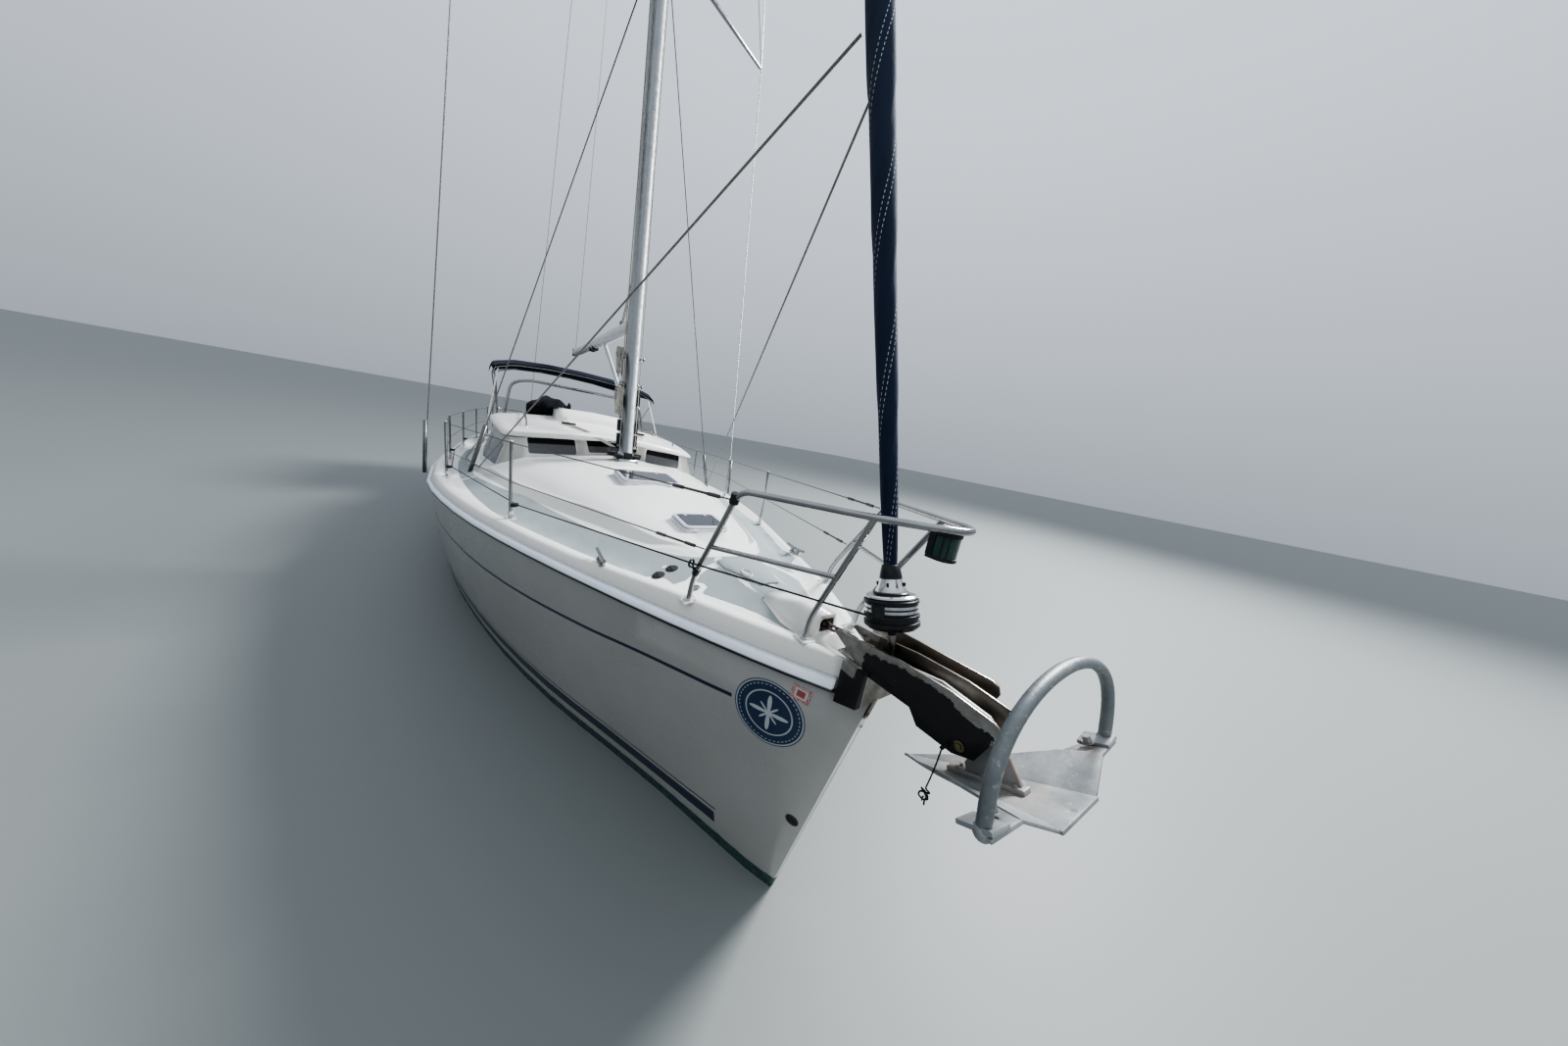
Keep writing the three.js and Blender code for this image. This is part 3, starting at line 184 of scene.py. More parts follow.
black_cord = braided("black_braid", (0.012, 0.012, 0.014), (0.06, 0.06, 0.065))
EYE, DROP, SWAY = Vector((6.398, -0.127, 1.5747)), 0.155, -0.008
route = [EYE + Vector((SWAY * t * t, 0, -DROP * t)) for t in [i / 19 for i in range(20)]]
line = bpy.data.curves.new("lanyard_line", "CURVE")
line.dimensions, line.bevel_depth, line.bevel_resolution, line.use_fill_caps = "3D", 0.0022, 3, True
spline = line.splines.new("POLY")
spline.points.add(len(route) - 1)
for point, p in zip(spline.points, route):
    point.co = (*p, 1.0)
lanyard = link("lanyard_line", line, "yacht", black_cord)
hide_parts("lanyard")
print("lanyard hangs", round(DROP * 1000), "mm")

# %% [markdown]
# The knot is a figure-eight with two short tails. Real knots are one cord
# passing over itself, so it is drawn as a looping path and given the same
# round section, then turned into a mesh.
# %% Tubes and the knot
def rounded(points, radius, steps=6):
    pts = [Vector(p) for p in points]
    out = [pts[0]]
    for a, b, c in zip(pts, pts[1:], pts[2:]):
        r = min(radius, (b - a).length * 0.48, (c - b).length * 0.48)
        p, q = b + (a - b).normalized() * r, b + (c - b).normalized() * r
        out += [p.lerp(b, t).lerp(b.lerp(q, t), t) for t in [i / steps for i in range(steps + 1)]]
    return out + [pts[-1]]

def add_tube(bm, points, radius, sides=5, smooth=0.0, radii=None):
    path = rounded(points, smooth) if smooth else [Vector(p) for p in points]
    data = bpy.data.curves.new("path", "CURVE")
    data.dimensions, data.bevel_depth = "3D", radius
    data.bevel_resolution, data.use_fill_caps = sides - 2, True
    s = data.splines.new("POLY")
    s.points.add(len(path) - 1)
    for i, p in enumerate(path):
        s.points[i].co = (*p, 1.0)
        s.points[i].radius = radii[i] if radii else 1.0
    holder = bpy.data.objects.new("path", data)
    mesh = bpy.data.meshes.new_from_object(holder)
    bm.from_mesh(mesh)
    bpy.data.objects.remove(holder)
    bpy.data.curves.remove(data)
    bpy.data.meshes.remove(mesh)

def finished(name, bm, mat, body="yacht", sharp=35.0, replaces=(), mats=()):
    bmesh.ops.remove_doubles(bm, verts=bm.verts, dist=1e-6)
    mesh = bpy.data.meshes.new(name)
    bm.to_mesh(mesh)
    bm.free()
    mesh.shade_smooth()
    mesh.set_sharp_from_angle(angle=radians(sharp))
    ob = link(name, mesh, body, mat)
    for extra in mats:
        mesh.materials.append(extra)
    if replaces:
        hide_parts(*replaces)
    return ob

bm = bmesh.new()
K = route[-1] + Vector((0, 0, -0.0003))
loops = [K, K + Vector((0.002, 0, -0.006)), K + Vector((0.014, 0.007, -0.013)),
         K + Vector((0.007, 0.010, -0.022)),
         K + Vector((-0.013, 0, -0.026)), K + Vector((-0.013, -0.010, -0.034)),
         K + Vector((0.003, -0.006, -0.041)),
         K + Vector((0.016, 0.003, -0.034)), K + Vector((0.005, 0.010, -0.025)),
         K + Vector((-0.014, 0.005, -0.018)),
         K + Vector((-0.010, -0.006, -0.009)), K + Vector((0.008, -0.010, -0.014)),
         K + Vector((0.010, 0, -0.03)),
         K + Vector((0.008, -0.003, -0.042)), K + Vector((0.010, -0.004, -0.050)),
         K + Vector((0.011, -0.004, -0.055))]
add_tube(bm, loops, 0.0026, smooth=0.006)
add_tube(bm, [K + Vector((0, 0.002, -0.036)), K + Vector((-0.003, 0.005, -0.046)),
              K + Vector((-0.002, 0.006, -0.057))],
         0.0024, smooth=0.006)
knot = finished("lanyard_knot_tied", bm, black_cord, replaces=("lanyard_knot",))
print("knot", len(knot.data.polygons), "faces")

# %% [markdown]
# The boat floats, so the pale studio floor lies exactly at its waterline.
# A large soft light stands to port and a weak one ahead, which leaves the
# starboard topsides in the soft shade that they have under a grey sky.
# %% Floor and light
floor_mat, tree, bsdf = shader("studio_floor", 0.55)
bsdf.inputs["Base Color"].default_value = (0.205, 0.22, 0.218, 1)
bm = bmesh.new()
bmesh.ops.create_grid(bm, x_segments=2, y_segments=2, size=150)
mesh = bpy.data.meshes.new("studio_floor")
bm.to_mesh(mesh)
bm.free()
mesh.materials.append(floor_mat)
floor = bpy.data.objects.new("studio_floor", mesh)
bpy.context.scene.collection.objects.link(floor)

world = bpy.data.worlds.new("studio_sky")
bpy.context.scene.world = world
world.use_nodes = True
sky = world.node_tree
height = axis(sky, n(sky, "TexCoord", out=0), 2)
shade = span(sky, height, -0.05, 0.8, 0.10, 1.0)
sky.links.new(mixed(sky, shade, (0.30, 0.33, 0.37), (0.80, 0.86, 0.94)),
              sky.nodes["Background"].inputs["Color"])
sky.nodes["Background"].inputs["Strength"].default_value = 0.85

def soft_light(name, at, target, size, power):
    data = bpy.data.lights.new(name, "AREA")
    data.shape, data.size, data.energy = "DISK", size, power
    ob = bpy.data.objects.new(name, data)
    bpy.context.scene.collection.objects.link(ob)
    ob.location = at
    ob.rotation_euler = (Vector(target) - Vector(at)).to_track_quat("-Z", "Y").to_euler()
    return ob

soft_light("key", (4, 17, 18), (2, 0, 1), 7, 8000)
soft_light("fill", (20, -3, 8), (4, 0, 1), 8, 450).visible_glossy = False
bpy.context.scene.view_settings.look = "AgX - High Contrast"
bpy.context.scene.view_settings.exposure = 0.1
print("floor and", len(bpy.data.lights), "lights")

# %% [markdown]
# The hull is white gelcoat over glass fibre. Below a line just above the
# water it has dark antifouling, then come a navy boot stripe with a thin
# line over it, and a navy pinstripe that follows the sheer. On the real
# boat these are paint and tape, so here they are masks in the material: a
# curve gives the height of each line along the boat, and no mesh is cut.
# %% Hull paint
def line_height(tree, x, points):
    curve = n(tree, "FloatCurve", {1: span(tree, x, -6.4, 6.4)}).node
    c = curve.mapping.curves[0]
    c.points[0].location = (0.0, points[0][1] / 2)
    c.points[1].location = (1.0, points[-1][1] / 2)
    for px, pz in points:
        c.points.new((px + 6.4) / 12.8, pz / 2)
    curve.mapping.update()
    return calc(tree, "MULTIPLY", curve.outputs[0], 2.0)

def between(tree, z, centre, half, soft=0.0012):
    away = calc(tree, "ABSOLUTE", calc(tree, "SUBTRACT", z, centre))
    return span(tree, away, half - soft, half + soft, 1.0, 0.0)

hull_paint, tree, bsdf = shader("hull_gelcoat", 0.22, coat=0.35)
bsdf.inputs["Coat Roughness"].default_value = 0.08
co = place(tree)
x, y, z = (axis(tree, co, k) for k in range(3))
cloud = noise(tree, co, 0.9, 6.0, 0.6)
runs = noise(tree, co, 9.0, 6.0, 0.65, stretch=(1.0, 1.0, 0.07))
# The gelcoat tones are mid greys, much darker than white gelcoat: painted shade standing in for the soft
# shade on the starboard topsides. The cloudy change between the two tones is the gelcoat's own.
color = mixed(tree, span(tree, cloud, 0.35, 0.7), (0.315, 0.315, 0.30), (0.27, 0.268, 0.255))
color = mixed(tree, span(tree, runs, 0.57, 0.75, 0.0, 0.28), color, (0.31, 0.29, 0.25))
low = calc(tree, "MULTIPLY", span(tree, z, 0.45, 0.08),
           span(tree, noise(tree, co, 5.0, 8.0, 0.7), 0.4, 0.75))
color = mixed(tree, calc(tree, "MULTIPLY", low, 0.45), color, (0.28, 0.29, 0.22))
PIN = [(-6.4, 0.92), (-4, 0.87), (-2, 0.85), (0, 0.85), (1.9, 0.868), (3.2, 0.915), (4.4, 1.026),
       (5.0, 1.111), (5.51, 1.163), (6.4, 1.25)]
pin = calc(tree, "MULTIPLY", between(tree, z, line_height(tree, x, PIN), 0.011),
           span(tree, x, 5.512, 5.515, 1, 0))
STRIPE = [(-6.4, 0.20), (0, 0.19), (4.2, 0.19), (5.06, 0.196), (5.4, 0.206), (6.4, 0.23)]
boot = calc(tree, "MULTIPLY", between(tree, z, line_height(tree, x, STRIPE), 0.042, 0.0015),
            span(tree, x, 5.392, 5.396, 1, 0))
thin = calc(tree, "MULTIPLY", between(tree, z, calc(tree, "ADD", line_height(tree, x, STRIPE), 0.072),
                                      0.005),
            span(tree, x, 5.402, 5.406, 1, 0))
navy = calc(tree, "MAXIMUM", calc(tree, "MAXIMUM", pin, boot), thin)
color = mixed(tree, navy, color, mixed(tree, cloud, (0.008, 0.014, 0.04), (0.018, 0.026, 0.06)))
RAIL_FOOT = [(-6.4, 1.17), (-5.4, 1.156), (-3.9, 1.138), (-2.6, 1.13), (-1.3, 1.136), (0, 1.156),
             (0.76, 1.1767),
             (1.61, 1.2027), (2.58, 1.241), (3.49, 1.2878), (4.29, 1.3365), (4.79, 1.3682), (5.42, 1.4069),
             (5.9, 1.43), (6.4, 1.45)]
under_rail = calc(tree, "SUBTRACT", z, line_height(tree, x, RAIL_FOOT))
ahead = span(tree, x, 5.93, 5.94, 1.0, 0.0)
# Just under the rub rail a near-black band: partly the dark joint line, partly painted shadow cast by the
# rail. A thin pale line is painted below it.
color = mixed(tree, calc(tree, "MULTIPLY", between(tree, under_rail, 0.0, 0.006), ahead), color,
              (0.03, 0.03, 0.032))
color = mixed(tree, calc(tree, "MULTIPLY", between(tree, under_rail, -0.009, 0.0022), ahead), color,
              (0.72, 0.72, 0.70))
# A pale line down the stem's rounded edge is a painted highlight.
stem_highlight = calc(tree, "MULTIPLY", span(tree, calc(tree, "ABSOLUTE", y), 0.014, 0.006),
            span(tree, x, 5.3, 5.4, 0.0, 0.8))
color = mixed(tree, stem_highlight, color, (0.72, 0.73, 0.70))
edge = calc(tree, "ADD", z, calc(tree, "MULTIPLY", noise(tree, co, 14.0, 5.0), 0.012))
below = span(tree, edge, 0.088, 0.092, 1.0, 0.0)
weed = mixed(tree, span(tree, noise(tree, co, 26.0, 8.0, 0.7), 0.4, 0.7), (0.018, 0.045, 0.05),
             (0.05, 0.10, 0.09))
color = mixed(tree, below, color, weed)
rough = span(tree, below, 0.0, 1.0, 0.22, 0.85)
rough = calc(tree, "ADD", rough, span(tree, cloud, 0.3, 0.7, 0.0, 0.12))
feed(tree, bsdf, color, rough, noise(tree, co, 1.6, 3.0), 0.002)
print("hull paint:", len(tree.nodes), "nodes")

# %% [markdown]
# The model's solids arrive as loose triangles. A merged copy of each big
# moulding, with its soft angles shaded smooth, stands in for the solid; the
# true edges stay crisp. Copies that get a bevel have their flat facets
# dissolved first.
# %% Smooth copies of the mouldings
def merged_copy(node):
    bm = bmesh.new()
    bm.from_mesh(nodes[node].data)
    bmesh.ops.remove_doubles(bm, verts=bm.verts, dist=2e-5)
    bmesh.ops.dissolve_degenerate(bm, edges=bm.edges, dist=1e-5)
    return bm

def flat_copy(node, angle):
    bm = merged_copy(node)
    bmesh.ops.dissolve_limit(bm, angle_limit=radians(angle), verts=bm.verts, edges=bm.edges)
    bmesh.ops.triangulate(bm, faces=[f for f in bm.faces if len(f.verts) > 4])
    return bm

def soften(bm, width, sharp=40.0, segments=2):
    edges = [e for e in bm.edges if len(e.link_faces) == 2 and e.calc_face_angle(0.0) > radians(sharp)
             and e.calc_length() > width * 2.5]
    bmesh.ops.bevel(bm, geom=edges, offset=width, offset_type="OFFSET", segments=segments, profile=0.5,
                    affect="EDGES", material=-1, clamp_overlap=True)

def dressed(node, mat, body="yacht", sharp=35.0, bevel=0.0):
    bm = merged_copy(node)
    if bevel:
        bmesh.ops.dissolve_limit(bm, angle_limit=radians(1.0), verts=bm.verts, edges=bm.edges)
        soften(bm, bevel)
        bmesh.ops.triangulate(bm, faces=[f for f in bm.faces if len(f.verts) > 4])
    return finished(node + "_finished", bm, mat, body, sharp, (node,))

hull = dressed("hull", hull_paint, sharp=42.0)
hull_surface = BVHTree.FromPolygons([v.co.copy() for v in hull.data.vertices],
                                    [tuple(p.vertices) for p in hull.data.polygons])
print("hull", len(hull.data.polygons), "faces")

# %% [markdown]
# Three small things sit on the starboard bow: a round navy badge, a small
# red and white sticker, and a dark oval fitting near the stem. A decal is
# a thin sheet that follows the curve of the hull, so each one starts as a
# flat grid, and every point is dropped onto the hull and lifted a little.
# %% Decals laid on the hull
def laid_on(surface, centre, normal, up, half_w, half_h, lift, cells, name, mat, round_=False):
    normal, up = Vector(normal).normalized(), Vector(up)
    right = up.cross(normal).normalized()
    up = normal.cross(right)
    bm = bmesh.new()
    if round_:
        bmesh.ops.create_circle(bm, cap_ends=True, cap_tris=True, segments=64, radius=1.0)
        bmesh.ops.subdivide_edges(bm, edges=bm.edges, cuts=7, use_grid_fill=True)
    else:
        bmesh.ops.create_grid(bm, x_segments=cells, y_segments=cells, size=1.0)
    uv = bm.loops.layers.uv.new("flat")
    for face in bm.faces:
        for loop in face.loops:
            loop[uv].uv = (loop.vert.co.x, loop.vert.co.y)
    for v in bm.verts:
        at = Vector(centre) + right * (v.co.x * half_w) + up * (v.co.y * half_h)
        hit = surface.ray_cast(at + normal * 0.3, -normal, 1.0)[0]
        v.co = (hit if hit else at) + normal * lift
    bmesh.ops.recalc_face_normals(bm, faces=bm.faces)
    return finished(name, bm, mat, sharp=60)

def uv_radius(tree):
    uv = n(tree, "UVMap", uv_map="flat")
    u, v = (n(tree, "SeparateXYZ", {0: uv}, out=k) for k in (0, 1))
    r = calc(tree, "SQRT", calc(tree, "ADD", calc(tree, "MULTIPLY", u, u), calc(tree, "MULTIPLY", v, v)))
    return u, v, r, calc(tree, "ARCTAN2", v, u)

badge_mat, tree, bsdf = shader("badge_vinyl", 0.35)
_, _, r, turn = uv_radius(tree)
white = between(tree, r, 0.955, 0.018, 0.01)
dash = calc(tree, "GREATER_THAN", calc(tree, "SINE", calc(tree, "MULTIPLY", turn, 44.0)), -0.1)
white = calc(tree, "MAXIMUM", white, calc(tree, "MULTIPLY", between(tree, r, 0.86, 0.012, 0.008), dash))
white = calc(tree, "MAXIMUM", white, between(tree, r, 0.66, 0.02, 0.01))
ray = calc(tree, "ABSOLUTE", calc(tree, "COSINE", calc(tree, "MULTIPLY", turn, 2.0)))
star = calc(tree, "LESS_THAN", r,
            calc(tree, "ADD", 0.10, calc(tree, "MULTIPLY", calc(tree, "POWER", ray, 9.0), 0.46)))
small = calc(tree, "ABSOLUTE", calc(tree, "SINE", calc(tree, "MULTIPLY", turn, 2.0)))
star2 = calc(tree, "LESS_THAN", r, calc(tree, "MULTIPLY", calc(tree, "POWER", small, 12.0), 0.36))
white = calc(tree, "MAXIMUM", white, calc(tree, "MAXIMUM", star, star2))
co = place(tree)
worn = span(tree, noise(tree, co, 160.0, 5.0, 0.7), 0.3, 0.62, 0.75, 1.0)
base = mixed(tree, noise(tree, co, 60.0, 4.0), (0.014, 0.03, 0.07), (0.028, 0.05, 0.10))
color = mixed(tree, calc(tree, "MULTIPLY", white, worn), base, (0.42, 0.45, 0.455))
feed(tree, bsdf, color, span(tree, noise(tree, co, 30.0), 0.3, 0.7, 0.3, 0.45))
badge = laid_on(hull_surface, (5.693, -0.222, 1.171), (0.48, -0.86, -0.14), (0, 0, 1), 0.182, 0.182, 0.0009,
                12,
                "bow_badge", badge_mat, True)

sticker_mat, tree, bsdf = shader("sticker_vinyl", 0.4)
u, v, r, turn = uv_radius(tree)
edge = calc(tree, "MAXIMUM", calc(tree, "ABSOLUTE", u), calc(tree, "ABSOLUTE", v))
frame_red = span(tree, edge, 0.60, 0.66)
gaps = n(tree, "TexVoronoi", {"Vector": n(tree, "UVMap", uv_map="flat"), "Scale": 6.0})
red = calc(tree, "MULTIPLY", frame_red, span(tree, gaps, 0.2, 0.5, 1.0, 0.35))
inner = calc(tree, "MULTIPLY", calc(tree, "LESS_THAN", edge, 0.42), 0.85)
color = mixed(tree, calc(tree, "MAXIMUM", red, inner), (0.46, 0.45, 0.44), (0.30, 0.025, 0.02))
feed(tree, bsdf, color)
sticker = laid_on(hull_surface, (5.822, -0.172, 1.352), (0.52, -0.84, -0.13), (0.15, 0, 1), 0.046, 0.042,
                  0.0009, 10,
                  "bow_sticker", sticker_mat)
print("badge and sticker", len(badge.data.polygons), len(sticker.data.polygons))

# %% [markdown]
# The rest of the boat uses a small palette. Deck gelcoat is a warmer white
# than the hull and holds a little dirt. Stainless is bright with faint tea
# stains. Spars are satin aluminium, the windows smoked acrylic, the canvas
# navy with a fine weave, and the anchor dull zinc with rust.
# %% The palette
deck_white = cloudy("deck_gelcoat", (0.80, 0.80, 0.775), (0.73, 0.725, 0.69), (0.28, 0.42), patch=1.4,
                    grain=30.0,
                    relief=0.0002, coat=0.25, specks=0.10, dark=(0.45, 0.42, 0.36))
black_plastic = cloudy("black_plastic", (0.012, 0.013, 0.015), (0.025, 0.026, 0.028), (0.28, 0.5),
                       patch=20.0,
                       grain=700.0, relief=0.0001)
black_rubber = cloudy("black_rubber", (0.025, 0.025, 0.026), (0.05, 0.05, 0.05), (0.6, 0.85), patch=30.0,
                      grain=900.0, relief=0.0002)
bronze = cloudy("weathered_bronze", (0.42, 0.30, 0.13), (0.20, 0.15, 0.08), (0.3, 0.6), 1.0, patch=25.0,
                grain=300.0)
antifoul = cloudy("antifoul_paint", (0.02, 0.05, 0.06), (0.035, 0.07, 0.075), (0.8, 0.95), patch=6.0,
                  grain=60.0,
                  relief=0.0008)
engine_grey = cloudy("engine_paint", (0.30, 0.33, 0.35), (0.22, 0.24, 0.26), (0.4, 0.6), patch=6.0,
                     grain=50.0)
white_paint = cloudy("spar_white", (0.74, 0.75, 0.76), (0.66, 0.67, 0.68), (0.3, 0.45), patch=6.0,
                     grain=80.0,
                     stretch=(1, 1, 0.2), specks=0.15, dark=(0.3, 0.29, 0.27))

def metal_finish(name, tone, other, rough, brush=(1, 1, 1), stain=0.0, patch=8.0):
    mat, tree, bsdf = shader(name, rough[0], 1.0)
    co = place(tree)
    cloud = noise(tree, co, patch, 6.0, 0.6)
    lines = noise(tree, co, 260.0, 3.0, stretch=brush)
    color = mixed(tree, span(tree, cloud, 0.3, 0.7), tone, other)
    if stain:
        spots = span(tree, noise(tree, co, patch * 2.2, 8.0, 0.75), 0.58, 0.72, 0.0, stain)
        color = mixed(tree, spots, color, (0.24, 0.13, 0.05))
    feed(tree, bsdf, color, span(tree, noise(tree, co, patch * 3, 5.0), 0.3, 0.7, *rough), lines, 0.00004)
    return mat

stainless = metal_finish("polished_stainless", (0.42, 0.42, 0.42), (0.32, 0.32, 0.32), (0.10, 0.22),
                         stain=0.12)
wire_steel = metal_finish("rigging_wire", (0.26, 0.26, 0.26), (0.18, 0.18, 0.18), (0.3, 0.5), patch=30.0)
bright_steel = metal_finish("bright_steel", (0.72, 0.72, 0.72), (0.60, 0.60, 0.60), (0.16, 0.30), stain=0.2,
                            patch=20.0)
plate_steel = cloudy("base_plate_steel", (0.62, 0.63, 0.62), (0.52, 0.53, 0.52), (0.30, 0.42), 0.4,
                     patch=30.0,
                     grain=300.0, specks=0.2, dark=(0.25, 0.22, 0.18))
satin_alloy = metal_finish("satin_alloy", (0.52, 0.54, 0.55), (0.44, 0.46, 0.47), (0.32, 0.45),
                           (1, 1, 0.02))
frame_alloy = cloudy("hatch_alloy", (0.66, 0.68, 0.72), (0.58, 0.60, 0.64), (0.30, 0.42), 0.2, patch=9.0,
                     grain=200.0,
                     specks=0.2, dark=(0.3, 0.3, 0.3))

# %% [markdown]
# Zinc on the anchor is matt and blotchy, with paler scuffs on its edges and
# brown rust that spreads from the foot of the shank and from the bolts.
# %% Galvanised finish
def rusted_zinc(name, spots, amount=0.5, tone=(0.28, 0.295, 0.30), other=(0.42, 0.43, 0.425)):
    mat, tree, bsdf = shader(name, 0.55, 0.55)
    co = place(tree)
    cloud = noise(tree, co, 9.0, 8.0, 0.65)
    spangle = n(tree, "TexVoronoi", {"Vector": co, "Scale": 70.0})
    color = mixed(tree, span(tree, cloud, 0.35, 0.65), tone, other)
    color = mixed(tree, span(tree, spangle, 0.1, 0.7, 0.0, 0.25), color, (0.27, 0.285, 0.30))
    scuff = span(tree, noise(tree, co, 38.0, 9.0, 0.75), 0.56, 0.7, 0.0, 0.6)
    color = mixed(tree, scuff, color, (0.62, 0.62, 0.60))
    rust = span(tree, noise(tree, co, 55.0, 8.0, 0.75), 0.60, 0.72, 0.0, 0.35)
    for at, reach in spots:
        d = n(tree, "VectorMath", {0: co, 1: at}, out=1, operation="DISTANCE")
        near = span(tree, d, reach, reach * 0.25)
        patch = calc(tree, "MULTIPLY", near, span(tree, noise(tree, co, 18.0, 8.0, 0.7), 0.38, 0.62))
        rust = calc(tree, "MAXIMUM", rust, calc(tree, "MULTIPLY", patch, amount))
    brown = mixed(tree, noise(tree, co, 80.0, 4.0), (0.27, 0.165, 0.10), (0.38, 0.29, 0.21))
    color = mixed(tree, rust, color, brown)
    rough = span(tree, cloud, 0.3, 0.7, 0.42, 0.62)
    feed(tree, bsdf, color, calc(tree, "ADD", rough, calc(tree, "MULTIPLY", rust, 0.25)),
         noise(tree, co, 130.0, 6.0, 0.7), 0.0006)
    return mat
zinc = rusted_zinc("galvanised_zinc", [((6.548, -0.055, 1.60), 0.13), ((6.60, -0.06, 1.585), 0.12),
                                       ((6.44, -0.045, 1.50), 0.12), ((6.66, 0.18, 1.68), 0.06)])
hoop_zinc = rusted_zinc("hoop_zinc", [], tone=(0.17, 0.19, 0.195), other=(0.27, 0.285, 0.285))

# %% [markdown]
# Smoked acrylic is nearly black and very glossy, with a dusting of salt.
# Fabric is the opposite: a woven bump, a soft sheen and no sharp shine.
# %% Acrylic and canvas
smoked, tree, bsdf = shader("smoked_acrylic", 0.05, coat=0.5)
co = place(tree)
dust = span(tree, noise(tree, co, 26.0, 9.0, 0.75), 0.45, 0.8, 0.0, 0.22)
feed(tree, bsdf, mixed(tree, dust, (0.012, 0.014, 0.017), (0.16, 0.17, 0.17)),
     span(tree, noise(tree, co, 12.0, 6.0), 0.3, 0.7, 0.04, 0.14))

def canvas(name, tone, other, threads=520.0, fade=1.3):
    mat, tree, bsdf = shader(name, 0.9)
    bsdf.inputs["Sheen Weight"].default_value = 0.06
    bsdf.inputs["Sheen Roughness"].default_value = 0.5
    bsdf.inputs["Specular IOR Level"].default_value = 0.12
    co = place(tree)
    warp = n(tree, "TexWave", {"Vector": co, "Scale": threads / 3}, bands_direction="X")
    weft = n(tree, "TexWave", {"Vector": co, "Scale": threads / 3}, bands_direction="Z")
    weave = calc(tree, "ADD", warp, weft)
    creases = noise(tree, co, 16.0, 5.0, 0.6)
    faded = span(tree, noise(tree, co, fade, 6.0, 0.6), 0.35, 0.7)
    color = mixed(tree, faded, tone, other)
    color = mixed(tree, span(tree, weave, 0.4, 1.6, 0.0, 0.18), color, (0.0, 0.0, 0.0))
    feed(tree, bsdf, color, span(tree, faded, 0.0, 1.0, 0.82, 0.95),
         calc(tree, "ADD", calc(tree, "MULTIPLY", weave, 0.12), creases), 0.0035)
    return mat
navy_canvas = canvas("navy_canvas", (0.008, 0.012, 0.026), (0.014, 0.020, 0.038))
black_canvas = canvas("black_canvas", (0.008, 0.009, 0.012), (0.016, 0.018, 0.022))
print(len(bpy.data.materials), "materials so far")

# %% [markdown]
# The deck moulding carries a broad rounded bulwark, the low trunk and a
# raised hawse at the bow. The hawse is the mouth that the anchor chain runs
# through, so an opening is cut in its flat front with a boolean.
# %% Deck moulding with the hawse opening
deck_mat, tree, bsdf = shader("deck_moulding", 0.3, coat=0.25)
co = place(tree)
cloud = noise(tree, co, 1.4, 7.0, 0.6)
color = mixed(tree, span(tree, cloud, 0.35, 0.68), (0.80, 0.80, 0.775), (0.735, 0.73, 0.70))
slope = axis(tree, n(tree, "NewGeometry", out=1), 2)
# Faces that tilt away from the sky are painted darker as painted shade.
slope_shade = span(tree, slope, 0.955, 0.75, 0.0, 0.8)
color = mixed(tree, slope_shade, color, (0.60, 0.59, 0.555))
x, y, z = (axis(tree, co, k) for k in range(3))
out = calc(tree, "ABSOLUTE", y)
CREASE = [(0.0, 1.60), (1.0, 1.42), (2.034, 1.161), (3.0, 0.83), (3.772, 0.539), (4.35, 0.36), (4.70, 0.20),
          (6.0, 0.02)]
FOOT_LINE = [(0.0, 1.70), (1.0, 1.54), (1.97, 1.296), (3.0, 0.955), (3.756, 0.69), (4.326, 0.47),
             (4.70, 0.24), (6.0, 0.02)]
crease, foot = line_height(tree, x, CREASE), line_height(tree, x, FOOT_LINE)
# Between the crease and the foot line of the trunk a darker band is painted as painted shade on its sloping
# side.
band = calc(tree, "MULTIPLY", calc(tree, "GREATER_THAN", out, crease), calc(tree, "LESS_THAN", out, foot))
band = calc(tree, "MULTIPLY", band, span(tree, x, 4.62, 4.5))
color = mixed(tree, calc(tree, "MULTIPLY", band, 0.9), color, (0.40, 0.405, 0.38))
# Thin pale lines along the crease and along the foot line are painted highlights.
trunk_edge_highlight = calc(tree, "MAXIMUM", between(tree, out, crease, 0.011, 0.004),
              between(tree, out, foot, 0.016, 0.004))
color = mixed(tree, calc(tree, "MULTIPLY", trunk_edge_highlight, span(tree, x, 4.75, 4.6, 0.0, 0.8)), color,
              (0.88, 0.88, 0.86))
# Inside the hawse opening the deck is painted near-black as painted shade in the recess.
hawse_mouth_shade = calc(tree, "MULTIPLY", calc(tree, "GREATER_THAN", x, 5.66), calc(tree, "LESS_THAN", x, 5.747))
for value, low, high in ((y, -0.0726, 0.0146), (z, 1.5914, 1.6556)):
    hawse_mouth_shade = calc(tree, "MULTIPLY", hawse_mouth_shade, calc(tree, "MULTIPLY", calc(tree, "GREATER_THAN", value, low),
                                               calc(tree, "LESS_THAN", value, high)))
color = mixed(tree, hawse_mouth_shade, color, (0.045, 0.04, 0.034))
dirt = span(tree, noise(tree, co, 11.0, 8.0, 0.72), 0.55, 0.78, 0.0, 0.18)
color = mixed(tree, dirt, color, (0.42, 0.39, 0.33))
feed(tree, bsdf, color, span(tree, cloud, 0.3, 0.7, 0.28, 0.42), noise(tree, co, 30.0, 3.0), 0.0002)

deck = dressed("deck", deck_mat, sharp=48.0)

def cut_with(target, cutter_bm):
    data = bpy.data.meshes.new("cutter")
    cutter_bm.to_mesh(data)
    cutter_bm.free()
    cutter = bpy.data.objects.new("cutter", data)
    bpy.context.scene.collection.objects.link(cutter)
    mod = target.modifiers.new("opening", "BOOLEAN")
    mod.operation, mod.object, mod.solver = "DIFFERENCE", cutter, "EXACT"
    graph = bpy.context.evaluated_depsgraph_get()
    mesh = bpy.data.meshes.new_from_object(target.evaluated_get(graph))
    target.modifiers.clear()
    target.data = mesh
    bpy.data.objects.remove(cutter)
    mesh.shade_smooth()
    mesh.set_sharp_from_angle(angle=radians(48))

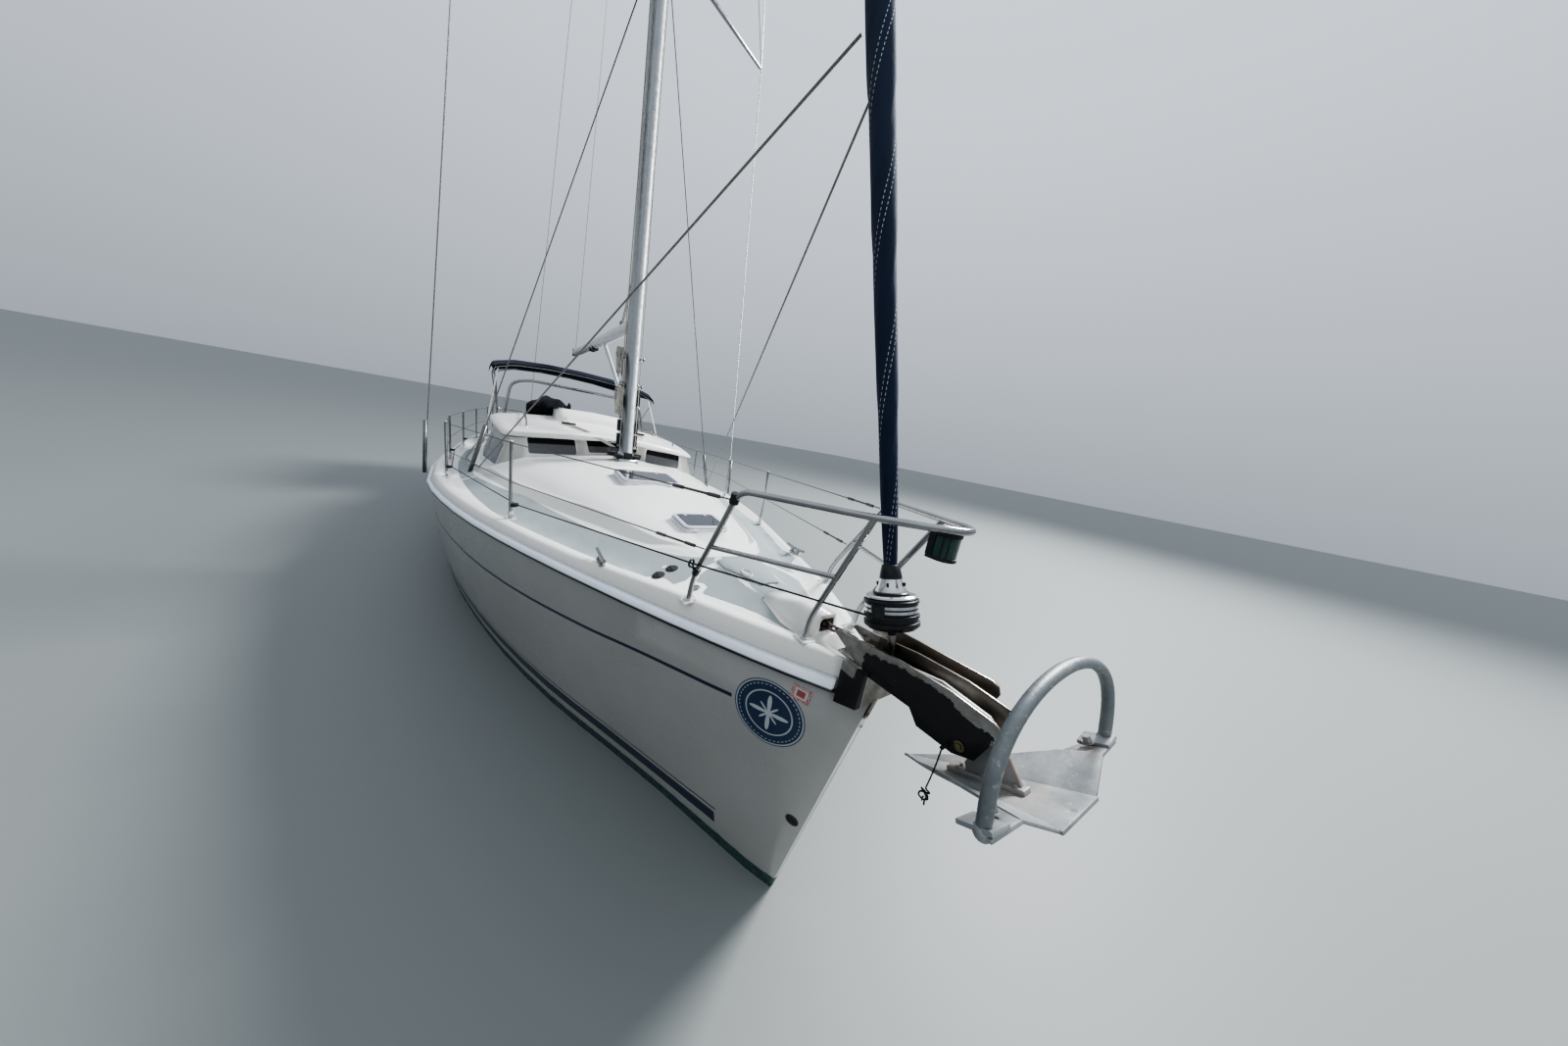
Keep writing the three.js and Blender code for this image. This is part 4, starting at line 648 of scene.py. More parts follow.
def rounded_box(bm, lo, hi, radius=0.004, segments=3, edges_if=None):
    made = bmesh.ops.create_cube(bm, size=1.0)["verts"]
    lo, hi = Vector(lo), Vector(hi)
    for v in made:
        v.co = Vector([lo[k] + (v.co[k] + 0.5) * (hi[k] - lo[k]) for k in range(3)])
    edges = {e for v in made for e in v.link_edges}
    if edges_if:
        edges = {e for e in edges if edges_if((e.verts[1].co - e.verts[0].co).normalized())}
    if radius:
        bmesh.ops.bevel(bm, geom=list(edges), offset=radius, offset_type="OFFSET", segments=segments,
                        profile=0.5, affect="EDGES", material=-1, clamp_overlap=True)
    return made

bm = bmesh.new()
rounded_box(bm, (5.67, -0.072, 1.592), (5.80, 0.014, 1.655), 0.018, 4, lambda d: abs(d.x) > 0.9)
cut_with(deck, bm)
deck_surface = BVHTree.FromPolygons([v.co.copy() for v in deck.data.vertices],
                                    [tuple(p.vertices) for p in deck.data.polygons])
print("deck", len(deck.data.polygons), "faces")

# %% [markdown]
# Grey-green non-skid is moulded into the side decks and the foredeck, with
# smooth white borders. It is thin, so each patch is a flat outline cut into
# strips, dropped onto the deck and given a two-millimetre skirt. Its
# pattern is a field of small raised dots.
# %% Non-skid patches
nonskid, tree, bsdf = shader("deck_nonskid", 0.7)
co = place(tree)
dots = n(tree, "TexVoronoi", {"Vector": co, "Scale": 220.0, "Randomness": 0.25})
cloud = noise(tree, co, 1.7, 7.0, 0.62)
color = mixed(tree, span(tree, cloud, 0.35, 0.68), (0.315, 0.355, 0.36), (0.265, 0.30, 0.305))
grime = span(tree, noise(tree, co, 7.0, 9.0, 0.75), 0.5, 0.75, 0.0, 0.25)
color = mixed(tree, grime, color, (0.27, 0.27, 0.24))
color = mixed(tree, span(tree, dots, 0.15, 0.6, 0.0, 0.2), color, (0.25, 0.27, 0.28))
feed(tree, bsdf, color, span(tree, cloud, 0.3, 0.7, 0.6, 0.8), span(tree, dots, 0.0, 0.5, 1.0, 0.0), 0.0008)

def patch(name, outline, lift=0.0016, cell=0.09):
    bm = bmesh.new()
    verts = [bm.verts.new((px, py, 4.0)) for px, py in outline]
    bm.faces.new(verts)
    xs, ys = [p[0] for p in outline], [p[1] for p in outline]
    for k, values in ((0, xs), (1, ys)):
        lo, hi = min(values), max(values)
        count = max(1, int((hi - lo) / cell))
        for i in range(1, count):
            at = Vector((0, 0, 4)); at[k] = lo + (hi - lo) * i / count
            across = Vector((0, 0, 0)); across[k] = 1.0
            bmesh.ops.bisect_plane(bm, geom=bm.verts[:] + bm.edges[:] + bm.faces[:], plane_co=at,
                                   plane_no=across)
    edge = [e for e in bm.edges if e.is_boundary]
    skirt = bmesh.ops.extrude_edge_only(bm, edges=edge)["geom"]
    low = {g for g in skirt if isinstance(g, bmesh.types.BMVert)}
    for v in bm.verts:
        hit, _, _, _ = deck_surface.ray_cast(Vector((v.co.x, v.co.y, 4.0)), Vector((0, 0, -1)), 6.0)
        v.co.z = (hit.z if hit else 1.4) + (lift if v not in low else -0.004)
    bmesh.ops.recalc_face_normals(bm, faces=bm.faces)
    if sum(f.normal.z * f.calc_area() for f in bm.faces) < 0:
        bmesh.ops.reverse_faces(bm, faces=bm.faces)
    return finished(name, bm, nonskid, sharp=50)

RAIL_IN = [(4.94, 0.57), (4.69, 0.655), (4.34, 0.765), (4.1, 0.86), (3.92, 0.94), (3.31, 1.175),
           (2.9, 1.29),
           (2.46, 1.405), (2.07, 1.495), (1.53, 1.60), (1.0, 1.68), (0.5, 1.735), (0.0, 1.775),
           (-0.8, 1.805), (-1.8, 1.80)]
FOOT_OUT = [(4.62, 0.33), (4.33, 0.49), (3.756, 0.71), (3.3, 0.855), (2.585, 1.07), (1.97, 1.315),
            (1.298, 1.52),
            (0.76, 1.58), (0.0, 1.68), (-0.7, 1.70), (-1.8, 1.67)]
def at_x(table, x):
    for (xa, ya), (xb, yb) in zip(table, table[1:]):
        if xb <= x <= xa:
            return ya + (yb - ya) * (xa - x) / (xa - xb)
    return table[0][1] if x > table[0][0] else table[-1][1]
def strip(x0, x1, s):
    xs = [x0 + (x1 - x0) * i / 8 for i in range(9)]
    return [(x, s * at_x(FOOT_OUT, x)) for x in xs] + [(x, s * at_x(RAIL_IN, x)) for x in reversed(xs)]
patches = []
NOSE = [(4.852, 0.0), (4.852, 0.158), (4.862, 0.22), (4.89, 0.30), (4.935, 0.375), (4.93, 0.44),
        (4.84, 0.455), (4.76, 0.52),
        (4.69, 0.61), (4.66, 0.655)]
for side, s in (("starboard", -1), ("port", 1)):
    edge = [(x, s * at_x(RAIL_IN, x)) for x in (4.5, 4.34, 4.1, 3.92, 3.65, 3.37)]
    foot = [(x, s * at_x(FOOT_OUT, x)) for x in (3.37, 3.756, 4.05, 4.33, 4.62)]
    tip = [(4.715, s * 0.25), (4.80, s * 0.14), (4.835, 0.0)]
    patches.append(patch(f"nonskid_{side}_0", [(x, s * y) for x, y in NOSE] + edge + foot + tip))
    for i, (x0, x1) in enumerate([(3.37, 1.36), (1.31, -0.52), (-0.57, -1.78)]):
        patches.append(patch(f"nonskid_{side}_{i + 1}", strip(x0, x1, s)))
FORE = [(4.985, -0.33), (4.93, -0.285), (4.905, -0.235), (4.925, -0.16), (4.962, -0.158), (5.255, -0.062),
        (5.255, 0.062), (4.962, 0.158), (4.925, 0.16), (4.93, 0.235), (4.96, 0.285), (5.02, 0.33),
        (5.10, 0.345),
        (5.35, 0.222), (5.55, 0.13), (5.66, 0.085), (5.55, 0.075), (5.36, 0.05), (5.325, -0.03),
        (5.36, -0.12),
        (5.55, -0.135), (5.65, -0.12), (5.50, -0.165), (5.35, -0.222), (5.12, -0.343), (5.10, -0.335),
        (5.075, -0.30), (5.035, -0.30)]
patches.append(patch("nonskid_foredeck", FORE, cell=0.06))
print(len(patches), "non-skid patches")

# %% [markdown]
# A pale vinyl rub rail covers the joint between hull and deck. Its upper
# face catches the sky, and its lower edge is painted near-black as painted
# shadow, so the material is split by height above the rail's foot. The
# forward end of the copy is pulled a little further along the hull, to reach
# the bow fitting.
# %% Locker lid and rub rails
dressed("anchor_locker_lid", nonskid, "anchor_locker", bevel=0.002)
rail_vinyl, tree, bsdf = shader("rub_rail_vinyl", 0.35, coat=0.2)
co = place(tree)
x, z = axis(tree, co, 0), axis(tree, co, 2)
scrape = noise(tree, co, 9.0, 7.0, 0.7, (0.2, 1, 1))
color = mixed(tree, span(tree, scrape, 0.35, 0.7), (0.84, 0.88, 0.95), (0.74, 0.78, 0.86))
over_foot = calc(tree, "SUBTRACT", z, line_height(tree, x, RAIL_FOOT))
# The lowest part of the rail, just above its foot, is painted near-black as painted shadow.
color = mixed(tree, span(tree, over_foot, 0.019, 0.027, 1.0, 0.0), color, (0.035, 0.036, 0.04))
feed(tree, bsdf, color, span(tree, scrape, 0.3, 0.7, 0.3, 0.45), noise(tree, co, 60.0, 3.0), 0.0002)
for side, s in (("starboard", 1), ("port", -1)):
    rail = dressed(f"rub_rail_{side}", rail_vinyl, sharp=60)
    for v in rail.data.vertices:
        if v.co.x > 5.89:
            v.co += Vector((0.047, s * 0.029, 0.002))

# %% [markdown]
# The pulpit is bent from one-inch stainless tube: one rail runs round from
# foot to foot, with a forward leg and a mid rail on each side. Round feet
# are welded to square base plates that are screwed to the bulwark.
# %% Pulpit
def flipped(points):
    return [(px, -py, pz) for px, py, pz in points]

def slab(bm, outline, low, high, bevel=0.0, segments=2):
    face = bm.faces.new([bm.verts.new((px, py, low)) for px, py in outline])
    made = bmesh.ops.extrude_face_region(bm, geom=[face])["geom"]
    top = [g for g in made if isinstance(g, bmesh.types.BMVert)]
    bmesh.ops.translate(bm, vec=(0, 0, high - low), verts=top)
    verts = set(top) | set(face.verts)
    faces = list({f for v in verts for f in v.link_faces})
    bmesh.ops.recalc_face_normals(bm, faces=faces)
    if bevel:
        rims = [e for e in {e for v in verts for e in v.link_edges}
                if abs(e.verts[0].co.z - e.verts[1].co.z) < 1e-6]
        bmesh.ops.bevel(bm, geom=rims, offset=bevel, offset_type="OFFSET", segments=segments, profile=0.5,
                        affect="EDGES", material=-1, clamp_overlap=True)
    return [v for v in bm.verts if v.is_valid]

def disc(radius, count=20, at=(0, 0)):
    return [(at[0] + radius * cos(2 * pi * i / count), at[1] + radius * sin(2 * pi * i / count))
            for i in range(count)]

def fresh_verts(bm, before):
    return [v for v in bm.verts if v not in before]

def turn_to(bm, fresh, at, axis_):
    turn = Vector((0, 0, 1)).rotation_difference(Vector(axis_))
    bmesh.ops.transform(bm, matrix=Matrix.Translation(at) @ turn.to_matrix().to_4x4(), verts=fresh)

def add_bolt(bm, at, axis_, across=0.013, height=0.006, sides=6):
    before = set(bm.verts)
    slab(bm, disc(across / 2 + 0.004, 18), 0.0, 0.0016, 0.0005, 1)
    slab(bm, disc(across / 2, sides), 0.0016, height, 0.0009, 1)
    turn_to(bm, fresh_verts(bm, before), at, axis_)

TUBE, MID = 0.013, 0.011
RAIL = [(5.215, 0.47, 1.54), (5.24, 0.47, 1.68), (5.545, 0.475, 2.15), (5.59, 0.462, 2.178),
        (6.02, 0.215, 2.2),
        (6.18, 0.11, 2.212), (6.245, 0.0, 2.216)]
bm = bmesh.new()
add_tube(bm, RAIL + flipped(RAIL[:-1])[::-1], TUBE, 6, 0.09)
for s in (-1, 1):
    add_tube(bm, [(5.75, s * 0.152, 1.56), (5.76, s * 0.154, 1.68), (6.02, s * 0.215, 2.2)], TUBE, 6, 0.05)
    add_tube(bm, [(5.372, s * 0.471, 1.88), (5.885, s * 0.184, 1.925)], MID, 6)
    for cx, cy in ((5.215, s * 0.47), (5.75, s * 0.152)):
        hit, normal, _, _ = deck_surface.ray_cast(Vector((cx, cy, 3.0)), Vector((0, 0, -1)))
        before, tubes = set(bm.verts), set(bm.faces)
        rounded_box(bm, (-0.037, -0.037, -0.004), (0.037, 0.037, 0.003), 0.0018, 2)
        slab(bm, disc(0.0185), 0.003, 0.012, 0.002)
        for k in range(4):
            slab(bm, disc(0.0055, 12, ((k % 2 - 0.5) * 0.052, (k // 2 - 0.5) * 0.052)), 0.003, 0.0055,
                 0.001, 1)
        turn_to(bm, fresh_verts(bm, before), hit + normal * 0.002, normal.lerp(Vector((0, 0, 1)), 0.5))
        for f in set(bm.faces) - tubes:
            f.material_index = 1
pulpit = finished("pulpit_tubes", bm, stainless, replaces=("pulpit",), mats=(plate_steel,))
print("pulpit", len(pulpit.data.polygons), "faces")

# %% [markdown]
# A two-colour navigation light hangs under the front of the rail. Its case
# has the plan of a letter D, with a ribbed lens between two black caps:
# green to starboard and red to port, divided at the centreline.
# %% Navigation light
lens_mat, tree, bsdf = shader("navigation_lens", 0.12, coat=0.6)
co = place(tree)
port_half = span(tree, axis(tree, co, 1), -0.0005, 0.0005)
ribs = n(tree, "TexWave", {"Vector": co, "Scale": 55.0}, bands_direction="Z")
green = mixed(tree, span(tree, ribs, 0.2, 0.9, 0.0, 0.5), (0.003, 0.035, 0.028), (0.01, 0.10, 0.075))
red = mixed(tree, span(tree, ribs, 0.2, 0.9, 0.0, 0.5), (0.10, 0.004, 0.006), (0.25, 0.015, 0.015))
feed(tree, bsdf, mixed(tree, port_half, green, red), None, ribs, 0.0012)

def d_plan(radius, back, front):
    arc = [(front + radius * sin(t), -radius * cos(t)) for t in [pi * i / 20 for i in range(21)]]
    return [(back, -radius)] + arc + [(back, radius)]
bm = bmesh.new()
slab(bm, d_plan(0.046, 6.128, 6.168), 2.182, 2.199, 0.003)
slab(bm, d_plan(0.046, 6.128, 6.168), 2.097, 2.110, 0.003)
slab(bm, [(6.126, -0.046), (6.150, -0.046), (6.150, 0.046), (6.126, 0.046)], 2.108, 2.184, 0.002)
rounded_box(bm, (6.150, -0.012, 2.196), (6.20, 0.012, 2.206), 0.002)
case_faces = len(bm.faces)
slab(bm, d_plan(0.043, 6.149, 6.168), 2.109, 2.183, 0.0)
bm.faces.ensure_lookup_table()
for f in bm.faces[case_faces:]:
    f.material_index = 1
light_case = finished("navigation_light", bm, black_plastic, replaces=("bow_light",),
                      mats=(lens_mat,))
print("light", len(light_case.data.polygons), "faces")

# %% [markdown]
# The furling drum turns with the sail. On the stay, from the top down, come
# a rubber cone, a polished cone with slots, a black ring, a bright disc, the
# cage with its window, and a flared lower ring. Each is a profile spun
# about the stay, so the pieces share one axis that leans aft.
# %% Furling drum
FOOT, STAY_HEAD = Vector((6.075, 0, 1.700)), Vector((1.3467, 0, 16.25))
stay_dir = (STAY_HEAD - FOOT).normalized()
def on_stay(z):
    return FOOT + (STAY_HEAD - FOOT) * ((z - FOOT.z) / (STAY_HEAD.z - FOOT.z))
tilt = Vector((0, 0, 1)).rotation_difference(stay_dir)

def spun(bm, profile, sides=40, index=0):
    before_f, before_v = set(bm.faces), set(bm.verts)
    verts = [bm.verts.new((r, 0, (z - FOOT.z) / stay_dir.z)) for r, z in profile]
    edges = [bm.edges.new(pair) for pair in zip(verts, verts[1:])]
    bmesh.ops.spin(bm, geom=verts + edges, cent=(0, 0, 0), axis=(0, 0, 1), angle=2 * pi, steps=sides,
                   use_merge=True, use_duplicate=False)
    fresh = fresh_verts(bm, before_v)
    bmesh.ops.remove_doubles(bm, verts=fresh, dist=1e-5)
    fresh = fresh_verts(bm, before_v)
    bmesh.ops.transform(bm, matrix=Matrix.Translation(FOOT) @ tilt.to_matrix().to_4x4(), verts=fresh)
    faces = [f for f in bm.faces if f not in before_f]
    for f in faces:
        f.material_index = index
    bmesh.ops.recalc_face_normals(bm, faces=faces)
    return faces

bm = bmesh.new()
spun(bm, [(0, 2.004), (0.030, 2.004), (0.034, 2.000), (0.040, 1.975), (0.0435, 1.958), (0.0435, 1.953),
          (0, 1.953)], 36)
spun(bm, [(0, 1.953), (0.042, 1.953), (0.049, 1.927), (0.060, 1.909), (0.060, 1.905), (0, 1.905)], 36, 1)
spun(bm, [(0, 1.905), (0.064, 1.905), (0.068, 1.902), (0.068, 1.896), (0, 1.896)], 36)
spun(bm, [(0, 1.896), (0.090, 1.896), (0.097, 1.891), (0.098, 1.886), (0.094, 1.881), (0, 1.881)], 40, 1)
spun(bm, [(0, 1.881), (0.1015, 1.881), (0.1045, 1.878), (0.1045, 1.870), (0.099, 1.868), (0.099, 1.829),
          (0.1045, 1.827),
          (0.1045, 1.817), (0.099, 1.815), (0.099, 1.804), (0.106, 1.801), (0.106, 1.788), (0.092, 1.775),
          (0.02, 1.772),
          (0.016, 1.746), (0, 1.746)], 48)
spun(bm, [(0.0995, 1.862), (0.1003, 1.862), (0.1003, 1.852), (0.0995, 1.852)], 48, 1)
spun(bm, [(0.0995, 1.846), (0.1003, 1.846), (0.1003, 1.836), (0.0995, 1.836)], 48, 1)
bmesh.ops.recalc_face_normals(bm, faces=bm.faces)
for k in range(4):
    turn = Matrix.Rotation(k * pi / 2 + 0.4, 4, "Z")
    before_v, before_f = set(bm.verts), set(bm.faces)
    rounded_box(bm, (0.044, -0.004, 0.238), (0.056, 0.004, 0.252), 0.002)
    bmesh.ops.transform(bm, matrix=Matrix.Translation(FOOT) @ tilt.to_matrix().to_4x4() @ turn,
                        verts=fresh_verts(bm, before_v))
before_v, before_f = set(bm.verts), set(bm.faces)
window_turn = Matrix.Rotation(radians(-82), 4, "Z")
rounded_box(bm, (0.088, -0.026, 0.118), (0.1055, 0.026, 0.178), 0.006)
rounded_box(bm, (0.096, -0.016, 0.128), (0.1066, 0.016, 0.168), 0.004)
bmesh.ops.transform(bm, matrix=Matrix.Translation(FOOT) @ tilt.to_matrix().to_4x4() @ window_turn,
                    verts=fresh_verts(bm, before_v))
fresh = [f for f in bm.faces if f not in before_f]
for f in fresh[len(fresh) // 2:]:
    f.material_index = 2
drum = finished("furling_drum_finished", bm, black_plastic, "furler", 32,
                ("furling_drum",),
                (bright_steel, black_rubber))
print("drum", len(drum.data.polygons), "faces")

# %% [markdown]
# The headsail is rolled around its stay. A rolled sail isn't a plain cone:
# the edge of the cloth climbs around it as a low ridge, and rows of light
# stitching follow that spiral. Its rings are swept up the stay, and each
# ring's radius grows slowly and then steps down at the edge.
# %% Rolled headsail
def sweep(bm, rings):
    count = len(rings[0])
    start = bmesh.ops.create_circle(bm, segments=count, radius=1.0)["verts"]
    for v, p in zip(start, rings[0]):
        v.co = p
    ring_edges = list({e for v in start for e in v.link_edges})
    current = start
    for ring in rings[1:]:
        made = bmesh.ops.extrude_edge_only(bm, edges=ring_edges)["geom"]
        fresh = [g for g in made if isinstance(g, bmesh.types.BMVert)]
        near = {v: min(fresh, key=lambda w: (w.co - v.co).length_squared) for v in current}
        current = [near[v] for v in current]
        ring_edges = [g for g in made if isinstance(g, bmesh.types.BMEdge)]
        fresh = set(fresh)
        ring_edges = [e for e in ring_edges if e.verts[0] in fresh and e.verts[1] in fresh]
        for v, p in zip(current, ring):
            v.co = p
    bmesh.ops.holes_fill(bm, edges=[e for e in bm.edges if e.is_boundary], sides=count + 1)
    bmesh.ops.recalc_face_normals(bm, faces=bm.faces)

ROLL = [(2.0045, 0.025), (2.03, 0.0265), (2.10, 0.029), (2.25, 0.034), (3.0, 0.046), (4.2, 0.062),
        (6.0, 0.074),
        (9.0, 0.070), (13.0, 0.050), (15.5, 0.026)]
CLIMB, EDGES = 0.62, 2
def roll_radius(z):
    for (za, ra), (zb, rb) in zip(ROLL, ROLL[1:]):
        if z <= zb:
            return ra + (rb - ra) * (z - za) / (zb - za)
    return ROLL[-1][1]

side_dir = Vector((0, 1, 0))
fore_dir = side_dir.cross(stay_dir)
levels, z = [], 2.0045
while z < 15.5:
    levels.append(z)
    z += 0.022 if z < 2.6 else 0.035 if z < 4.6 else 0.11
levels.append(15.5)
rings = []
for z in levels:
    r0, at = roll_radius(z), on_stay(z)
    ring = []
    for i in range(30):
        a = 2 * pi * i / 30
        phase = (a / (2 * pi) * EDGES - z / CLIMB) % 1.0
        step = min(1.0, phase * 1.0) if phase < 0.93 else (1.0 - phase) / 0.07
        wobble = 0.012 * sin(3 * a + z * 5.1) + 0.01 * sin(5 * a - z * 7.7)
        r = r0 * (0.955 + 0.085 * step + wobble)
        ring.append(at + (fore_dir * cos(a) + side_dir * sin(a)) * r)
    rings.append(ring)
cloth, tree, bsdf = shader("sail_cover_cloth", 0.85)
bsdf.inputs["Sheen Weight"].default_value = 0.08
bsdf.inputs["Specular IOR Level"].default_value = 0.25
co = place(tree)
x, y, z_ = (axis(tree, co, k) for k in range(3))
lean = (FOOT.x - STAY_HEAD.x) / (STAY_HEAD.z - FOOT.z)
ahead = calc(tree, "SUBTRACT", x, calc(tree, "SUBTRACT", FOOT.x + lean * FOOT.z,
                                       calc(tree, "MULTIPLY", z_, lean)))
angle = calc(tree, "DIVIDE", calc(tree, "ARCTAN2", y, ahead), 2 * pi)
turns = calc(tree, "SUBTRACT", calc(tree, "MULTIPLY", angle, float(EDGES)), calc(tree, "DIVIDE", z_, CLIMB))
color = mixed(tree, span(tree, noise(tree, co, 3.0, 6.0, 0.6, (1, 1, 0.3)), 0.35, 0.7),
              (0.014, 0.023, 0.048), (0.024, 0.036, 0.068))
crease = noise(tree, co, 11.0, 5.0, 0.6, (1, 1, 0.35))
# Where the crease noise is high the navy is darkened towards black: painted shade in the folds of the
# rolled cloth.
color = mixed(tree, span(tree, crease, 0.5, 0.75, 0.0, 0.35), color, (0.003, 0.006, 0.015))
for shift, gap in ((0.10, 0.004), (0.24, 0.004)):
    band = calc(tree, "FRACT", calc(tree, "ADD", turns, shift))
    seam = calc(tree, "LESS_THAN", calc(tree, "ABSOLUTE", calc(tree, "SUBTRACT", band, 0.5)), gap * 2.2)
    dash = calc(tree, "LESS_THAN", calc(tree, "FRACT", calc(tree, "MULTIPLY", z_, 46.0)), 0.55)
    color = mixed(tree, calc(tree, "MULTIPLY", calc(tree, "MULTIPLY", seam, dash), 0.8), color,
                  (0.55, 0.58, 0.62))
feed(tree, bsdf, color, None, crease, 0.006)
bm = bmesh.new()
sweep(bm, rings)
sail = finished("headsail_rolled", bm, cloth, "furler", 50, ("headsail_furled",))
print("headsail", len(sail.data.polygons), "faces")

# %% [markdown]
# The bow fitting is a welded stainless frame: two long cheeks and a short
# one that guide the anchor, on a box bracket over the stem. The starboard
# cheek was painted black and the paint has flaked back from its edges, so
# one material mixes paint and steel along a jagged line.
# %% Bow fitting
fitting_mat, tree, bsdf = shader("bow_fitting_steel", 0.3, 1.0)
co = place(tree)
x, y, z = (axis(tree, co, k) for k in range(3))
cloud = noise(tree, co, 14.0, 8.0, 0.65)
steel = mixed(tree, span(tree, cloud, 0.35, 0.65), (0.46, 0.45, 0.43), (0.30, 0.28, 0.25))
tea = span(tree, noise(tree, co, 8.0, 9.0, 0.7, (0.6, 1, 1.6)), 0.45, 0.72, 0.0, 0.75)
steel = mixed(tree, tea, steel, (0.19, 0.15, 0.115))
# The inner faces between the cheeks are darkened brown: partly real staining, partly painted shade between
# the cheeks.
cheek_stain_and_shade = calc(tree, "MULTIPLY", calc(tree, "GREATER_THAN", y, -0.0885), calc(tree, "GREATER_THAN", x, 6.0))
steel = mixed(tree, calc(tree, "MULTIPLY", cheek_stain_and_shade, 0.55), steel, (0.13, 0.11, 0.09))
CHEEK_TOP = [(5.90, 1.70), (5.985, 1.694), (6.17, 1.727), (6.36, 1.742), (6.496, 1.734), (6.518, 1.722),
             (6.53, 1.70)]
top_line = line_height(tree, x, CHEEK_TOP)
flake = calc(tree, "MULTIPLY", calc(tree, "SUBTRACT", noise(tree, co, 34.0, 9.0, 0.75), 0.5), 0.05)
level = calc(tree, "ADD", z, flake)
under = calc(tree, "LESS_THAN", level, calc(tree, "SUBTRACT", top_line, 0.026))
fore = calc(tree, "LESS_THAN", calc(tree, "ADD", x, flake), 6.502)
aft = calc(tree, "GREATER_THAN", calc(tree, "ADD", x, calc(tree, "MULTIPLY", flake, 1.5)), 6.028)
face_only = calc(tree, "LESS_THAN", y, -0.0932)
paint = calc(tree, "MULTIPLY", calc(tree, "MULTIPLY", under, fore), calc(tree, "MULTIPLY", aft, face_only))
bracket_face = calc(tree, "MULTIPLY", calc(tree, "LESS_THAN", y, -0.1212),
                    calc(tree, "LESS_THAN", z, 1.556))
paint = calc(tree, "MAXIMUM", paint, bracket_face)
chips = span(tree, noise(tree, co, 60.0, 9.0, 0.75), 0.66, 0.68, 0.0, 1.0)
paint = calc(tree, "MULTIPLY", paint, calc(tree, "SUBTRACT", 1.0, chips))
color = mixed(tree, paint, steel, mixed(tree, cloud, (0.006, 0.006, 0.007), (0.02, 0.02, 0.021)))
tree.links.new(calc(tree, "SUBTRACT", 1.0, paint), bsdf.inputs["Metallic"])
rough = mixed(tree, paint, span(tree, cloud, 0.3, 0.7, 0.22, 0.42), (0.42, 0.42, 0.42))
feed(tree, bsdf, color, rough, calc(tree, "ADD", paint, calc(tree, "MULTIPLY", cloud, 0.2)), 0.0006)

def y_prism(bm, outline, y0, y1, bevel=0.0012):
    before = set(bm.verts)
    slab(bm, outline, y0, y1, bevel, 2)
    fresh = fresh_verts(bm, before)
    for v in fresh:
        v.co = Vector((v.co.x, v.co.z, v.co.y))
    faces = list({f for v in fresh for f in v.link_faces})
    bmesh.ops.reverse_faces(bm, faces=faces)
    bmesh.ops.recalc_face_normals(bm, faces=faces)

bm = merged_copy("bow_fitting")
bmesh.ops.dissolve_limit(bm, angle_limit=radians(1.0), verts=bm.verts, edges=bm.edges)
soften(bm, 0.0012, 35)
bmesh.ops.triangulate(bm, faces=[f for f in bm.faces if len(f.verts) > 4])
add_bolt(bm, (6.43, -0.0945, 1.60), (0, -1, 0), 0.019, 0.009)
add_bolt(bm, (6.43, 0.0305, 1.60), (0, 1, 0), 0.019, 0.009)
for px, pz in ((6.35, 1.712), (6.12, 1.69)):
    add_bolt(bm, (px, -0.0943, pz), (0, -1, 0), 0.009, 0.003, 12)
for px, py in ((6.044, -0.085), (6.044, 0.068)):
    add_bolt(bm, (px - 0.004, py, 1.52), (0.93, 0, -0.37), 0.012, 0.005)
for pz in (1.30, 1.37):
    add_bolt(bm, (6.024 + 0.2222 * (pz - 1.252), 0, pz), (0.976, 0, -0.217), 0.010, 0.004, 12)
fitting = finished("bow_fitting_finished", bm, fitting_mat, sharp=40,
                   replaces=("bow_fitting",))
print("bow fitting", len(fitting.data.polygons), "faces")

# %% [markdown]
# The anchor is built in its own frame, with the tip at the origin, and is
# then pitched, turned and moved to where it rests on the roller. Fluke
# plates are outlines given thickness, the hoop is a round tube, and hex
# bolts hold the hoop's feet to small pads.
# %% Anchor
HOOK = (Matrix.Translation((6.247, -0.026, 1.376)) @ Matrix.Rotation(radians(-4.93), 4, "Z")
        @ Matrix.Rotation(radians(-30.2), 4, "Y"))

def fluke(bm, top, thick=0.010):
    face = bm.faces.new([bm.verts.new(p) for p in top])
    made = bmesh.ops.extrude_face_region(bm, geom=[face])["geom"]
    low = [g for g in made if isinstance(g, bmesh.types.BMVert)]
    bmesh.ops.translate(bm, vec=(0, 0, -thick), verts=low)
    faces = list({f for v in low + list(face.verts) for f in v.link_faces})
    bmesh.ops.recalc_face_normals(bm, faces=faces)
    rim = [e for e in {e for f in faces for e in f.edges} if e.calc_face_angle(0) > radians(40)]
    bmesh.ops.bevel(bm, geom=rim, offset=0.0022, offset_type="OFFSET", segments=2, profile=0.5,
                    affect="EDGES", material=-1, clamp_overlap=True)

